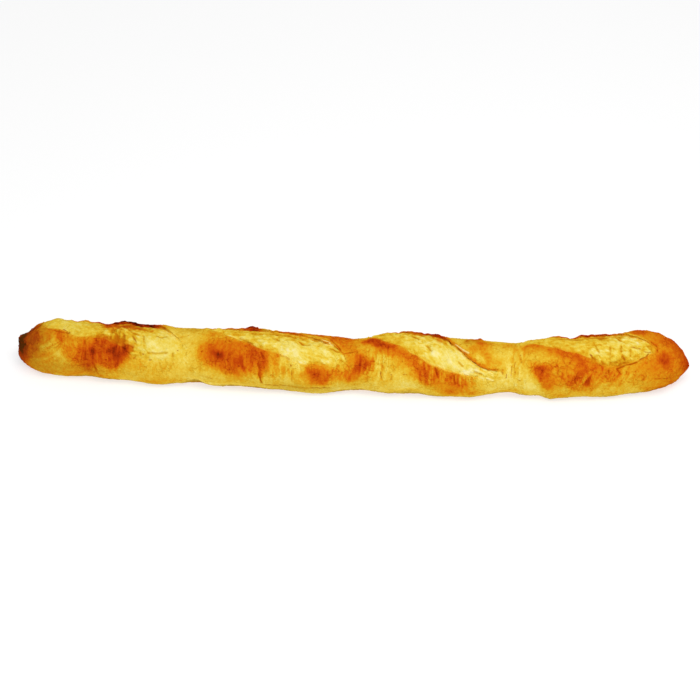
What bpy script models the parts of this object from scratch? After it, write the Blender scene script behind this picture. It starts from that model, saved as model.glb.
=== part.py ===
"""A long baguette with four slashes, lying on its flat base.

Metres, +Z up. The loaf runs along X, its crown is up and its front side faces -Y. The origin is
the bottom centre of its bounding box, so that it stands on the plane Z = 0.

A point of the crust is named by its distance along the loaf and its turn round the loaf, in degrees:
0 is the crown, positive turns go down the front side, negative ones down the back, and 180 is the base.
"""

import math

import bmesh
import bpy
import numpy as np
from mathutils import Vector, noise

MM = 0.001

# The bare loaf.
LENGTH = 648 * MM  # before its tips are pinched
HALF_WIDTH_LEFT = 27.2 * MM
HALF_WIDTH_RIGHT = 29.8 * MM
HEIGHT_TO_WIDTH = 0.835
AXIS_HEIGHT_SHARE = 0.44  # of the loaf's height
CROWN_SHARE = 0.56
BELLY_SHARE = 0.62  # it reaches below the floor, and the tray flattens it
BASE_CORNER = 4 * MM
BOW = 15 * MM  # how far the middle bends towards the front
END_SWING, END_SWING_START, END_SWING_LENGTH = 4.5 * MM, 220 * MM, 80 * MM
LEFT_END_LENGTH, RIGHT_END_LENGTH = 38 * MM, 52 * MM
LEFT_END_DROOP, RIGHT_END_DROOP = 4.5 * MM, 0.5 * MM

# The waists between the slashes: place along the loaf, depth a side, half-length.
WAISTS = [(-158 * MM, 1.6 * MM, 24 * MM), (2 * MM, 3.2 * MM, 26 * MM), (153 * MM, 4.4 * MM, 24 * MM)]

# The arc length of a turn round the crust is measured at this radius.
UNROLL_RADIUS = 28 * MM

# The slashes, from left to right. Each opened between a far edge, whose crust lifted into an ear, and
# a near edge, with a small step. An edge is a few points (mm along the loaf, degrees round it). The ear
# and the step are (mm along, mm high).
SLASHES = [
    {
        "far": [(-303, -42), (-291, -53), (-250, -47), (-212, -42), (-186, -32), (-172, -12), (-162, 12), (-156, 34)],
        "near": [(-303, -26), (-294, -2), (-283, 2), (-274, 10), (-264, 18), (-254, 20), (-240, 20), (-230, 28),
                 (-220, 36), (-210, 50), (-200, 60), (-180, 63), (-156, 50)],
        "ear": [(-303, 0.3), (-262, 1.0), (-240, 1.0), (-226, 2.8), (-212, 2.8), (-202, 1.6), (-192, 2.2), (-182, 3.0),
                (-174, 1.8), (-166, 0.5), (-156, 0.1)],
        "step": [(-303, 0.2), (-258, 0.6), (-201, 0.4), (-156, 0.2)],
    },
    {
        "far": [(-139, -38), (-129, -46), (-112, -42), (-88, -38), (-60, -30), (-40, -19), (-22, -2), (-10, 15),
                (-2, 33)],
        "near": [(-139, -28), (-124, -18), (-113, -3), (-105, 4), (-97, 10), (-90, 18), (-82, 25), (-72, 27),
                 (-62, 37), (-50, 49), (-28, 49), (-2, 43)],
        "ear": [(-139, 0.8), (-124, 1.2), (-112, 3.0), (-102, 4.2), (-92, 6.2), (-86, 5.0), (-79, 3.0), (-46, 1.8),
                (-16, 1.2), (-2, 0.4)],
        "step": [(-139, 0.6), (-112, 1.5), (-92, 1.2), (-62, 0.5), (-28, 0.6), (-2, 0.5)],
    },
    {
        "far": [(16, -44), (27, -57), (40, -55), (64, -47), (84, -33), (94, -16), (101, 2), (107, 16), (115, 32),
                (123, 43), (132, 51), (147, 56)],
        "near": [(16, -32), (25, -20), (34, -10), (43, 0), (52, 13), (60, 24), (70, 34), (79, 46), (90, 54),
                 (100, 61), (114, 67), (130, 76), (147, 74)],
        "ear": [(16, 0.8), (34, 2.4), (62, 3.4), (76, 2.2), (89, 4.2), (98, 1.6), (124, 1.0), (147, 0.5)],
        "step": [(16, 0.3), (47, 0.7), (97, 1.0), (132, 0.7), (147, 0.3)],
    },
    {
        "far": [(163, -42), (174, -56), (196, -52), (222, -46), (250, -42), (262, -30), (270, -18), (278, -7), (285, 4),
                (291, 20)],
        "near": [(163, -30), (174, -12), (184, -3), (194, 6), (204, 14), (218, 20), (226, 27), (233, 38), (241, 48),
                 (250, 51), (259, 50), (270, 43), (281, 33), (291, 26)],
        "ear": [(163, 0.6), (196, 2.0), (224, 2.4), (250, 2.2), (274, 2.6), (291, 0.6)],
        "step": [(163, 0.3), (208, 0.7), (250, 1.1), (275, 1.2), (291, 0.5)],
    },
]
LIP = 0.7 * MM  # the crust's edge drops to the crumb over this much of the arc
OVERHANG, OVERHANG_REACH = 1.8 * MM, 3.0 * MM
EAR_THIN_REACH, EAR_WIDE_REACH = 3.2 * MM, 11 * MM
EAR_THIN_SHARE = 0.6
UNDERCUT, UNDERCUT_REACH = 1.1 * MM, 4.0 * MM
CRUMB_BEHIND_EAR_SHARE, CRUMB_BEHIND_EAR_REACH = 0.42, 16 * MM  # the crumb rises with the ear
STEP_REACH = 4.0 * MM
CRUMB_DEPTH = 0.5 * MM
CRUMB_SWELL, CRUMB_SWELL_REACH = 1.6 * MM, 16 * MM
RIM_SHARE, RIM_REACH = 0.5, 2.6 * MM  # the near edge's own rise, as a share of its step
SLASH_END_FADE = 11 * MM
SLASH_CROSSING = 12 * MM  # the facets' lines leave one slash for the next from this far inside each

# Bulges (+) and dents (-) of the crust: mm along, degrees round, mm high, mm half-length, mm half-width.
LUMPS = [
    (-308, -42, 1.6, 9, 10),
    (-268, -48, 0.8, 18, 14),
    (-181, -40, 1.9, 8, 9),
    (-156, -46, 3.4, 26, 14),
    (-52, -44, 1.4, 32, 14),
    (-16, -48, 1.2, 20, 14),
    (14, -46, 1.0, 20, 14),
    (48, -44, 3.0, 26, 14),
    (112, -40, -0.8, 16, 14),
    (194, -46, 0.6, 14, 10),
    (207, -46, -2.2, 12, 12),
    (272, -42, 1.2, 10, 10),
    (286, -40, 3.6, 20, 14),
    (312, -30, 2.6, 8, 12),
    (-256, 118, -1.6, 12, 12),
    (-188, 118, 2.2, 14, 14),
    (-148, 122, -2.4, 9, 12),
    (-114, 118, -1.4, 18, 12),
    (-34, 120, 2.6, 20, 15),
    (58, 118, -2.4, 22, 12),
    (112, 120, 1.6, 24, 14),
    (190, 124, 2.4, 9, 12),
    (284, 112, -1.4, 20, 14),
    (-158, 92, -1.2, 16, 16),
    (-262, 84, 1.2, 22, 14),
    (-96, 78, 1.6, 24, 16),
    (4, 74, -1.4, 14, 18),
    (58, 92, 1.3, 26, 18),
    (206, 78, 1.6, 26, 18),
    (-206, -76, 1.6, 28, 18),
    (-92, -84, 1.8, 26, 18),
    (-8, -80, -1.3, 16, 18),
    (70, -88, 1.7, 30, 18),
    (150, -82, -1.2, 18, 18),
    (232, -86, 1.5, 28, 18),
    (-158, -96, -1.0, 16, 18),
]
# How far the lower front draws in, where the loaf turns under to the tray: (mm along, mm).
LOWER_FRONT = [(-306, 1.2), (-296, 1.4), (-284, 1.1), (-272, 1.0), (-264, 1.9), (-254, 3.4), (-246, 3.0), (-238, 1.6),
               (-226, 1.2), (-205, 2.1), (-184, 1.1), (-176, 0.5), (-160, 1.1), (-146, 2.2), (-136, 1.1), (-112, 1.7),
               (-96, 2.5), (-60, 2.0), (-44, 1.9), (-24, 0.9), (0, 0.9), (16, 2.6), (44, 1.9), (64, 3.0), (74, 1.6),
               (98, 0.3), (116, 1.2), (138, 1.3), (156, 0.7), (174, 0.5), (185, 3.1), (194, 1.0), (216, 1.4),
               (232, 0.2), (250, 0.2), (272, 2.4), (290, 1.3), (304, 0.5)]
LOWER_FRONT_TURN, LOWER_FRONT_REACH = math.radians(125), 17 * MM
ROUGH_LONG, ROUGH_LONG_HEIGHT = 34 * MM, 1.3 * MM
ROUGH_SHORT, ROUGH_SHORT_HEIGHT = 13 * MM, 0.7 * MM
ROUGH_SEED = Vector((3.7, 11.2, 5.9))
END_SMOOTHING = 18 * MM  # relief fades to nothing over this distance from each tip

# The pinched tips of the dough: centre, reach and push, as (along, across, up).
TIPS = [
    {"end": -1, "across": 2 * MM, "up": 25 * MM, "reach": 5.5 * MM, "push": (-2.6 * MM, 0.0, 2.6 * MM)},
    {"end": 1, "across": 0.0, "up": 20.5 * MM, "reach": 6.0 * MM, "push": (2.8 * MM, 0.0, -0.5 * MM)},
]
TIP_ZONE = 30 * MM

# The facets: rings along the loaf, and the strips of facets between the lines that they follow round it.
RINGS = 112
STRIPS = [
    # (where the strip starts, facets across it)
    ("base", 4),
    ("back", 9),
    ("ear", 3),
    ("far_edge", 1),
    ("crumb", 10),
    ("near_lip", 1),
    ("near_edge", 2),
    ("front", 10),
    ("base_again", 6),
]
BACK_TURN, FRONT_TURN = math.radians(-112), math.radians(122)
EAR_STRIP, RIM_STRIP = 7 * MM, 4 * MM
FACETS_ROUND = sum(facets for _, facets in STRIPS)

CRUST_COLOUR = (0.72, 0.42, 0.07, 1.0)
CRUST_ROUGHNESS = 0.6


def clear_scene():
    for obj in list(bpy.data.objects):
        bpy.data.objects.remove(obj, do_unlink=True)


def ease(share):
    share = np.clip(share, 0.0, 1.0)
    return share * share * (3.0 - 2.0 * share)


def bell(distance, reach):
    return np.exp(-((distance / reach) ** 2))


def smooth_above(height, floor, reach):
    """The larger of height and floor, rounded where they meet."""
    near = np.maximum(reach - np.abs(height - floor), 0.0) / reach
    return np.maximum(height, floor) + near * near * reach / 4.0


def curve_through(points, along):
    """A smooth curve through (along, value) points, and its slope, at each of the places along."""
    knots = np.array([p[0] for p in points], float)
    values = np.array([p[1] for p in points], float)
    slopes = np.gradient(values, knots)
    place = np.clip(along, knots[0], knots[-1])
    left = np.clip(np.searchsorted(knots, place, side="right") - 1, 0, len(knots) - 2)
    span = knots[left + 1] - knots[left]
    t = (place - knots[left]) / span
    start, end = values[left], values[left + 1]
    a, b = slopes[left] * span, slopes[left + 1] * span
    curve = start + t * a + t * t * (3 * (end - start) - 2 * a - b) + t**3 * (2 * (start - end) + a + b)
    slope = (a + 2 * t * (3 * (end - start) - 2 * a - b) + 3 * t * t * (2 * (start - end) + a + b)) / span
    return curve, slope


def half_width(along):
    """Half the loaf's width, with its waists and its two elliptical ends."""
    share = along / LENGTH + 0.5
    width = HALF_WIDTH_LEFT + (HALF_WIDTH_RIGHT - HALF_WIDTH_LEFT) * share
    for place, depth, reach in WAISTS:
        width = width - depth * bell(along - place, reach)
    to_left = np.clip((along + LENGTH / 2) / LEFT_END_LENGTH, 0, 1)
    to_right = np.clip((LENGTH / 2 - along) / RIGHT_END_LENGTH, 0, 1)
    return width * np.sqrt(1 - (1 - to_left) ** 2) * np.sqrt(1 - (1 - to_right) ** 2)


def axis_height(along):
    share = along / LENGTH + 0.5
    full_width = 2 * (HALF_WIDTH_LEFT + (HALF_WIDTH_RIGHT - HALF_WIDTH_LEFT) * share)
    left_droop = LEFT_END_DROOP * (1 - ease((along + LENGTH / 2) / LEFT_END_LENGTH))
    right_droop = RIGHT_END_DROOP * (1 - ease((LENGTH / 2 - along) / RIGHT_END_LENGTH))
    return AXIS_HEIGHT_SHARE * HEIGHT_TO_WIDTH * full_width - left_droop - right_droop


def sideways(along):
    """Where the loaf's middle line lies across the tray."""
    bow = -BOW * (1 - (2 * along / LENGTH) ** 2)
    return bow + END_SWING * ease((along - END_SWING_START) / END_SWING_LENGTH)


def edge_turn(points, along):
    """The turn of a slash's edge at each place along the loaf, and its slope."""
    return curve_through([(x * MM, math.radians(degrees)) for x, degrees in points], along)


def slash_relief(slash, along, arc):
    """What one slash does to the crust: how far it rises, and how far its ear leans over the crumb."""
    first, last = slash["far"][0][0] * MM, slash["far"][-1][0] * MM
    within = ease((along - first) / SLASH_END_FADE) * ease((last - along) / SLASH_END_FADE)
    far_turn, far_slope = edge_turn(slash["far"], along)
    near_turn, near_slope = edge_turn(slash["near"], along)
    past_far = arc - UNROLL_RADIUS * far_turn
    past_near = UNROLL_RADIUS * near_turn - arc
    from_far = past_far / np.hypot(1, UNROLL_RADIUS * far_slope)
    from_near = past_near / np.hypot(1, UNROLL_RADIUS * near_slope)
    opened = ease(past_far / LIP) * ease(past_near / LIP)

    ear_height, _ = curve_through([(x * MM, height * MM) for x, height in slash["ear"]], along)
    behind = np.maximum(-from_far, 0)
    ear = EAR_THIN_SHARE * bell(behind, EAR_THIN_REACH) + (1 - EAR_THIN_SHARE) * bell(behind, EAR_WIDE_REACH)
    step_height, _ = curve_through([(x * MM, height * MM) for x, height in slash["step"]], along)
    rim = RIM_SHARE * step_height * bell(np.maximum(-from_near, 0), RIM_REACH)
    crust = np.where(past_near > past_far, ear_height * ear, rim)

    undercut = UNDERCUT * bell(from_far, UNDERCUT_REACH)
    step = step_height * bell(from_near, STEP_REACH)
    swell = CRUMB_SWELL * bell(from_far - from_near, CRUMB_SWELL_REACH)
    swell = swell + CRUMB_BEHIND_EAR_SHARE * ear_height * bell(from_far, CRUMB_BEHIND_EAR_REACH)
    crumb = swell - CRUMB_DEPTH - undercut - step
    rise = within * (crust * (1 - opened) + crumb * opened)
    lean = within * OVERHANG * bell(behind, OVERHANG_REACH) * (1 - ease(past_far / LIP))
    return rise, lean * ease(ear_height / EAR_THIN_REACH) * (past_near > past_far)


def lump_relief(along, arc):
    height = np.zeros_like(along)
    for x, degrees, rise, half_length, half_round in LUMPS:
        across = arc - UNROLL_RADIUS * math.radians(degrees)
        height += rise * MM * bell(along - x * MM, half_length * MM) * bell(across, half_round * MM)
    drawn_in, _ = curve_through([(x * MM, depth * MM) for x, depth in LOWER_FRONT], along)
    return height - drawn_in * bell(arc - UNROLL_RADIUS * LOWER_FRONT_TURN, LOWER_FRONT_REACH)


def rough_relief(points):
    """Uneven dough: a long and a short noise, read at each point of the bare loaf."""
    height = np.empty(len(points))
    for i, point in enumerate(points):
        place = Vector(point)
        long_wave = noise.noise(place / ROUGH_LONG + ROUGH_SEED)
        short_wave = noise.noise(place / ROUGH_SHORT - ROUGH_SEED)
        height[i] = ROUGH_LONG_HEIGHT * long_wave + ROUGH_SHORT_HEIGHT * short_wave
    return height


def crust_points(along, turn, relief):
    """Points of the crust, raised by relief and flattened where they meet the tray."""
    half = half_width(along)
    height = 2 * half * HEIGHT_TO_WIDTH
    reach = np.where(np.cos(turn) > 0, CROWN_SHARE, BELLY_SHARE) * height
    across = sideways(along) - (half + relief) * np.sin(turn)
    up = axis_height(along) + (reach + relief) * np.cos(turn)
    return np.stack([along, across, smooth_above(up, 0.0, BASE_CORNER)], axis=1)


def pinch_tips(points):
    """Pushes out the little tip that the baker's hand leaves at each end."""
    for tip in TIPS:
        from_end = LENGTH / 2 - tip["end"] * points[:, 0]
        off = np.hypot(points[:, 1] - tip["across"], points[:, 2] - tip["up"])
        weight = bell(off, tip["reach"]) * ease(1 - from_end / TIP_ZONE)
        points = points + weight[:, None] * np.array(tip["push"])
    points[:, 2] = np.maximum(points[:, 2], 0.0)
    return points


def loaf_shape(along, turn):
    """The finished crust at each place along and turn round the loaf."""
    arc = UNROLL_RADIUS * turn
    relief = lump_relief(along, arc) + rough_relief(crust_points(along, turn, 0.0))
    lean = np.zeros_like(along)
    for slash in SLASHES:
        slash_rise, slash_lean = slash_relief(slash, along, arc)
        relief = relief + slash_rise
        lean = lean + slash_lean
    at_tips = ease((LENGTH / 2 - np.abs(along)) / END_SMOOTHING)
    return pinch_tips(crust_points(along, turn + lean * at_tips / UNROLL_RADIUS, relief * at_tips))


def even_places(share):
    """Places along the loaf for shares of the way along its outline, so that rings crowd at its ends."""
    along = LENGTH / 2 * np.sin(np.linspace(-math.pi / 2, math.pi / 2, 2001))
    steps = np.hypot(np.diff(along), np.diff(half_width(along)))
    outline = np.concatenate([[0], np.cumsum(steps)])
    return np.interp(share, outline / outline[-1], along)


def edge_lines(along):
    """The turns of the far and near edges all along the loaf, carried from each slash to the next."""
    far, _ = edge_turn(SLASHES[0]["far"], along)
    near, _ = edge_turn(SLASHES[0]["near"], along)
    for left, right in zip(SLASHES, SLASHES[1:]):
        leaves = left["far"][-1][0] * MM - SLASH_CROSSING
        joins = right["far"][0][0] * MM + SLASH_CROSSING
        passed = ease((along - leaves) / (joins - leaves))
        far = far + (edge_turn(right["far"], along)[0] - far) * passed
        near = near + (edge_turn(right["near"], along)[0] - near) * passed
    return far, near


def strip_turns(share, along):
    """Turns round the loaf for shares of a full turn, with facets' edges on the slashes' edges."""
    far, near = edge_lines(along)
    lines = {
        "base": np.full_like(along, -math.pi),
        "back": np.full_like(along, BACK_TURN),
        "ear": far - EAR_STRIP / UNROLL_RADIUS,
        "far_edge": far,
        "crumb": far + LIP / UNROLL_RADIUS,
        "near_lip": near - LIP / UNROLL_RADIUS,
        "near_edge": near,
        "front": near + RIM_STRIP / UNROLL_RADIUS,
        "base_again": np.full_like(along, FRONT_TURN),
    }
    place = share * FACETS_ROUND
    turns = np.zeros_like(along)
    passed = 0
    names = [name for name, _ in STRIPS]
    for (name, facets), following in zip(STRIPS, names[1:] + [None]):
        start = lines[name]
        end = lines[following] if following else np.full_like(along, math.pi)
        inside = (place >= passed) & (place <= passed + facets)
        turns = np.where(inside, start + (end - start) * (place - passed) / facets, turns)
        passed += facets
    return turns


def shape_sphere(shape):
    """Moves the points of a sphere, whose poles are the loaf's two tips, to where the crust is."""
    sphere = np.array([vertex.co.normalized() for vertex in shape.verts])
    from_left = 1 - np.arccos(np.clip(sphere[:, 2], -1, 1)) / math.pi
    round_share = (np.arctan2(sphere[:, 1], sphere[:, 0]) / (2 * math.pi) + 0.25) % 1.0
    along = even_places(from_left)
    turn = strip_turns(np.round(round_share * FACETS_ROUND) / FACETS_ROUND, along)
    points = loaf_shape(along, turn)
    low, high = points.min(axis=0), points.max(axis=0)
    points -= [(low[0] + high[0]) / 2, (low[1] + high[1]) / 2, low[2]]
    for vertex, point in zip(shape.verts, points):
        vertex.co = point


def crust_material():
    material = bpy.data.materials.new("baked_crust")
    material.use_nodes = True
    shader = material.node_tree.nodes["Principled BSDF"]
    shader.inputs["Base Color"].default_value = CRUST_COLOUR
    shader.inputs["Roughness"].default_value = CRUST_ROUGHNESS
    shader.inputs["Metallic"].default_value = 0.0
    return material


def make_loaf(collection):
    shape = bmesh.new()
    bmesh.ops.create_uvsphere(shape, u_segments=FACETS_ROUND, v_segments=RINGS, radius=1.0)
    shape_sphere(shape)
    bmesh.ops.triangulate(shape, faces=shape.faces, quad_method="BEAUTY")
    mesh = bpy.data.meshes.new("baguette")
    shape.to_mesh(mesh)
    shape.free()
    mesh.shade_smooth()
    mesh.materials.append(crust_material())
    loaf = bpy.data.objects.new("baguette", mesh)
    collection.objects.link(loaf)


def main():
    clear_scene()
    collection = bpy.data.collections.new("bread")
    bpy.context.scene.collection.children.link(collection)
    make_loaf(collection)


main()
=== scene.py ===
# %% [markdown]
# # A baguette: from a plain solid to a baked crust
#
# The packed solid already has the loaf's form: its bow, its waists, four slashes with their ears, and a
# flat base. This lesson gives it the rest of what an eye looks for in bread. It makes the crust again with
# fine facets, raises its skin, crumb and cracks, adds the small torn and blistered pieces, and bakes it
# with one material. Everything is in metres, with +X along the loaf, -Y its front side and +Z up.

# %% The packed model
import math

import bpy
import numpy as np
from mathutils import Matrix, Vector, noise


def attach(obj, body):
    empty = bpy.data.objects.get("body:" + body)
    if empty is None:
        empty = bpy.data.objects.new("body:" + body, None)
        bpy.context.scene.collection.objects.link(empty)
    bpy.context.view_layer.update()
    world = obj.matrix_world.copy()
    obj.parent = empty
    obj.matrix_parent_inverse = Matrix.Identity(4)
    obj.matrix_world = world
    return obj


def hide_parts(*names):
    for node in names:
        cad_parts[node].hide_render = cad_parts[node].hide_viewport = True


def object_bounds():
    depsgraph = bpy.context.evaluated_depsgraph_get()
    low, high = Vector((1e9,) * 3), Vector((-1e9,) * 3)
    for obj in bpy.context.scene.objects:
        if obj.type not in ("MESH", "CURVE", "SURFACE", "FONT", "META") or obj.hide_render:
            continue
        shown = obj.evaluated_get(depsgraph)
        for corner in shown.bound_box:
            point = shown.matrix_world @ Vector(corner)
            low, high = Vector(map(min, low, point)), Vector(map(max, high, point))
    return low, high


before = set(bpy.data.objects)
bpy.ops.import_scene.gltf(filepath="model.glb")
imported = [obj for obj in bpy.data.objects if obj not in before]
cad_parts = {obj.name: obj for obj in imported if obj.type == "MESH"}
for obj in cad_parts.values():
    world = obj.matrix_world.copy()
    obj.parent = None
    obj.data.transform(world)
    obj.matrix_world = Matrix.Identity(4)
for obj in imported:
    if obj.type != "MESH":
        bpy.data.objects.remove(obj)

MM = 0.001


def in_mm(box):
    """A box's two corners, to a tenth of a millimetre."""
    return [[round(value / MM, 1) for value in corner] for corner in box]


def spread(values):
    """The least and the greatest of some values, in words."""
    return f"from {float(values.min()):.2f} to {float(values.max()):.2f}"


def percent(chosen):
    """How many of the corners are chosen."""
    return f"{100 * float(chosen.mean()):.0f}% of the crust's corners"


cad_box = [list(corner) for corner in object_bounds()]
print("the solid's box, in mm:", in_mm(cad_box))

# %% [markdown]
# ## The loaf without its crust's detail
#
# A baguette could be sculpted, but then no size could be changed later. Its form follows a rule instead: a
# point of the crust is named by its distance along the loaf and its turn round it. A turn of 0 is the
# crown, positive turns go down the front, negative ones down the back, and half a turn is the base. These
# are the sizes of the solid's own source, so the fine crust lies where the solid does.

# %% Sizes of the bare loaf
LENGTH = 648 * MM  # before its tips are pinched
HALF_WIDTH_LEFT = 27.2 * MM
HALF_WIDTH_RIGHT = 29.8 * MM
HEIGHT_TO_WIDTH = 0.835
AXIS_HEIGHT_SHARE = 0.44  # of the loaf's height
CROWN_SHARE = 0.56
BELLY_SHARE = 0.62  # it reaches below the floor, and the tray flattens it
BASE_CORNER = 4 * MM
BOW = 15 * MM  # how far the middle bends towards the front
END_SWING, END_SWING_START, END_SWING_LENGTH = 4.5 * MM, 220 * MM, 80 * MM
LEFT_END_LENGTH, RIGHT_END_LENGTH = 38 * MM, 52 * MM
LEFT_END_DROOP, RIGHT_END_DROOP = 4.5 * MM, 0.5 * MM

# The waists between the slashes: place along the loaf, depth a side, half-length.
WAISTS = [(-158 * MM, 1.6 * MM, 24 * MM), (2 * MM, 3.2 * MM, 26 * MM), (153 * MM, 4.4 * MM, 24 * MM)]

# The arc length of a turn round the crust is measured at this radius.
UNROLL_RADIUS = 28 * MM

print("the bare loaf is", LENGTH / MM, "mm long, and bends by", BOW / MM, "mm")

# %% Bulges and dents
# Each is (mm along, degrees round, mm high, mm half-length, mm half-width), with dents below 0.
LUMPS = [
    (-308, -42, 1.6, 9, 10), (-268, -48, 0.8, 18, 14), (-181, -40, 1.9, 8, 9), (-156, -46, 3.4, 26, 14),
    (-52, -44, 1.4, 32, 14), (-16, -48, 1.2, 20, 14), (14, -46, 1.0, 20, 14), (48, -44, 3.0, 26, 14),
    (112, -40, -0.8, 16, 14), (194, -46, 0.6, 14, 10), (207, -46, -2.2, 12, 12),
    (272, -42, 1.2, 10, 10), (286, -40, 3.6, 20, 14), (312, -30, 2.6, 8, 12), (-256, 118, -1.6, 12, 12),
    (-188, 118, 2.2, 14, 14), (-148, 122, -2.4, 9, 12), (-114, 118, -1.4, 18, 12),
    (-34, 120, 2.6, 20, 15), (58, 118, -2.4, 22, 12), (112, 120, 1.6, 24, 14), (190, 124, 2.4, 9, 12),
    (284, 112, -1.4, 20, 14), (-158, 92, -1.2, 16, 16), (-262, 84, 1.2, 22, 14), (-96, 78, 1.6, 24, 16),
    (4, 74, -1.4, 14, 18), (58, 92, 1.3, 26, 18), (206, 78, 1.6, 26, 18), (-206, -76, 1.6, 28, 18),
    (-92, -84, 1.8, 26, 18), (-8, -80, -1.3, 16, 18), (70, -88, 1.7, 30, 18), (150, -82, -1.2, 18, 18),
    (232, -86, 1.5, 28, 18), (-158, -96, -1.0, 16, 18),
]
# Smaller ones, which only the fine crust has.
SMALL_LUMPS = [
    (-285, -44, 1.3, 5, 10), (-274, -46, 0.7, 3, 8), (-268, -46, -1.1, 3, 8), (-296, -46, -1.2, 4, 8),
    (-260, -46, 1.4, 5, 8), (-251, -46, -0.4, 3, 8), (-246, -46, 0.8, 3, 8), (-237, -48, -1.0, 5, 8),
    (-214, -46, 0.8, 5, 8), (-200, -44, 0.7, 8, 8), (-146, -46, -0.7, 4, 8), (-116, -46, 0.7, 5, 8),
    (-70, -44, 0.8, 5, 8), (-140, -44, 0.7, 3, 6), (-128, -46, 0.8, 2, 4), (32, -50, 1.3, 6, 8),
    (41, -52, -0.4, 3, 8), (124, -38, 1.8, 2.6, 5), (145, -46, 1.0, 9, 10), (180, -48, 0.8, 4, 8),
    (212, -50, -1.3, 3.4, 8), (217, -48, -1.0, 5, 8), (222, -48, 0.8, 5, 8), (296, -48, 0.7, 3, 8),
    (303, -42, -0.7, 3, 8), (-206, 118, 0.8, 5, 8), (-160, 120, 0.7, 4, 8), (-60, 120, -0.6, 4, 8),
    (-56, -44, -0.9, 8, 9), (-41, -42, 0.8, 8, 9), (20, 118, 0.6, 5, 8), (96, 118, -0.5, 4, 8),
    (176, 120, -0.7, 4, 8), (232, 118, 0.6, 5, 8),
]
print(len(LUMPS), "bulges and dents, and", len(SMALL_LUMPS), "small ones")

# %% Where the loaf turns under, rough dough and tips
# How far the lower front draws in, where the loaf turns under to the tray: (mm along, mm).
LOWER_FRONT = [(-306, 1.2), (-296, 1.4), (-284, 1.1), (-272, 1.0), (-264, 1.9), (-254, 3.4), (-246, 3.0),
               (-238, 1.6), (-226, 1.2), (-205, 2.1), (-184, 1.1), (-176, 0.5), (-160, 1.1), (-146, 2.2),
               (-136, 1.1), (-112, 1.7), (-96, 2.5), (-60, 2.0), (-44, 1.9), (-24, 0.9), (0, 0.9), (16, 2.6),
               (44, 1.9), (64, 3.0), (74, 1.6), (98, 0.3), (116, 1.2), (138, 1.3), (156, 0.7), (174, 0.5),
               (185, 3.1), (194, 1.0), (216, 1.4), (232, 0.2), (250, 0.2), (272, 2.4), (290, 1.3), (304, 0.5)]
LOWER_FRONT_TURN, LOWER_FRONT_REACH = math.radians(125), 17 * MM
ROUGH_LONG, ROUGH_LONG_HEIGHT = 34 * MM, 1.3 * MM
ROUGH_SHORT, ROUGH_SHORT_HEIGHT = 13 * MM, 0.7 * MM
ROUGH_SEED = Vector((3.7, 11.2, 5.9))
END_SMOOTHING = 18 * MM  # relief fades to nothing over this distance from each tip

# The pinched tips of the dough. Each is the end it is on (-1 left, 1 right), its centre as mm across and
# mm up, its reach in mm, and its push in mm as (along, across, up).
TIPS = [
    (-1, 2, 25, 5.5, (-2.6, 0.0, 2.6)),
    (1, 0, 20.5, 6.0, (2.8, 0.0, -0.5)),
]
# Smaller pinches, which only the fine crust has: hollows beside the tips, and a fold on the left one.
SMALL_PINCHES = [
    (-1, 6.8, 38, 8, (0.0, -2.6, -4.0)),
    (-1, -23, 11, 9, (0.0, 3.0, 2.6)),
    (-1, -9.7, 26.5, 3.2, (1.6, 1.6, -0.6)),
    (-1, -4.2, 31, 3.4, (-1.0, -1.2, 1.0)),
    (-1, 4.0, 29.5, 2.6, (-1.8, 0.0, 1.4)),
    (-1, -8, 12, 7, (-2.0, 0.0, 0.0)),
    (1, -12.2, 18, 8, (-0.6, 3.0, 1.6)),
    (1, 4.8, 36, 8, (-0.2, -0.6, -1.2)),
]
TIP_ZONE = 30 * MM  # a pinch acts this far in from its end
print(len(TIPS), "pinched tips, and", len(SMALL_PINCHES), "smaller pinches")


# %% Soft steps and curves
def ease(share):
    """Goes from 0 to 1 with no corner at either end."""
    share = np.clip(share, 0.0, 1.0)
    return share * share * (3.0 - 2.0 * share)


def bell(distance, reach):
    """1 at no distance, and fading to nothing past the reach."""
    return np.exp(-((distance / reach) ** 2))


def smooth_above(height, floor, reach):
    """The larger of height and floor, rounded where they meet."""
    near = np.maximum(reach - np.abs(height - floor), 0.0) / reach
    return np.maximum(height, floor) + near * near * reach / 4.0


def curve_through(points, along):
    """A smooth curve through (along, value) points, and its slope, at each of the places along."""
    knots = np.array([p[0] for p in points], float)
    values = np.array([p[1] for p in points], float)
    slopes = np.gradient(values, knots)
    place = np.clip(along, knots[0], knots[-1])
    left = np.clip(np.searchsorted(knots, place, side="right") - 1, 0, len(knots) - 2)
    span = knots[left + 1] - knots[left]
    t = (place - knots[left]) / span
    start, end = values[left], values[left + 1]
    a, b = slopes[left] * span, slopes[left + 1] * span
    curve = start + t * a + t * t * (3 * (end - start) - 2 * a - b) + t**3 * (2 * (start - end) + a + b)
    slope = (a + 2 * t * (3 * (end - start) - 2 * a - b) + 3 * t * t * (2 * (start - end) + a + b)) / span
    return curve, slope


def height_along(table, along):
    """A smooth curve through a table of (mm along, mm high), in metres."""
    return curve_through([(x * MM, height * MM) for x, height in table], along)[0]


def read_off(table, along):
    """Straight lines through a table of (mm along, value)."""
    return np.interp(along / MM, *zip(*table))


print("a soft step a quarter of the way:", ease(0.25), "and a bell at half reach:", round(bell(0.5, 1), 2))


# %% The bare loaf's outline
def plain_half_width(along):
    """Half the loaf's width before its waists and ends: it widens evenly to the right."""
    return HALF_WIDTH_LEFT + (HALF_WIDTH_RIGHT - HALF_WIDTH_LEFT) * (along / LENGTH + 0.5)


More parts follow.
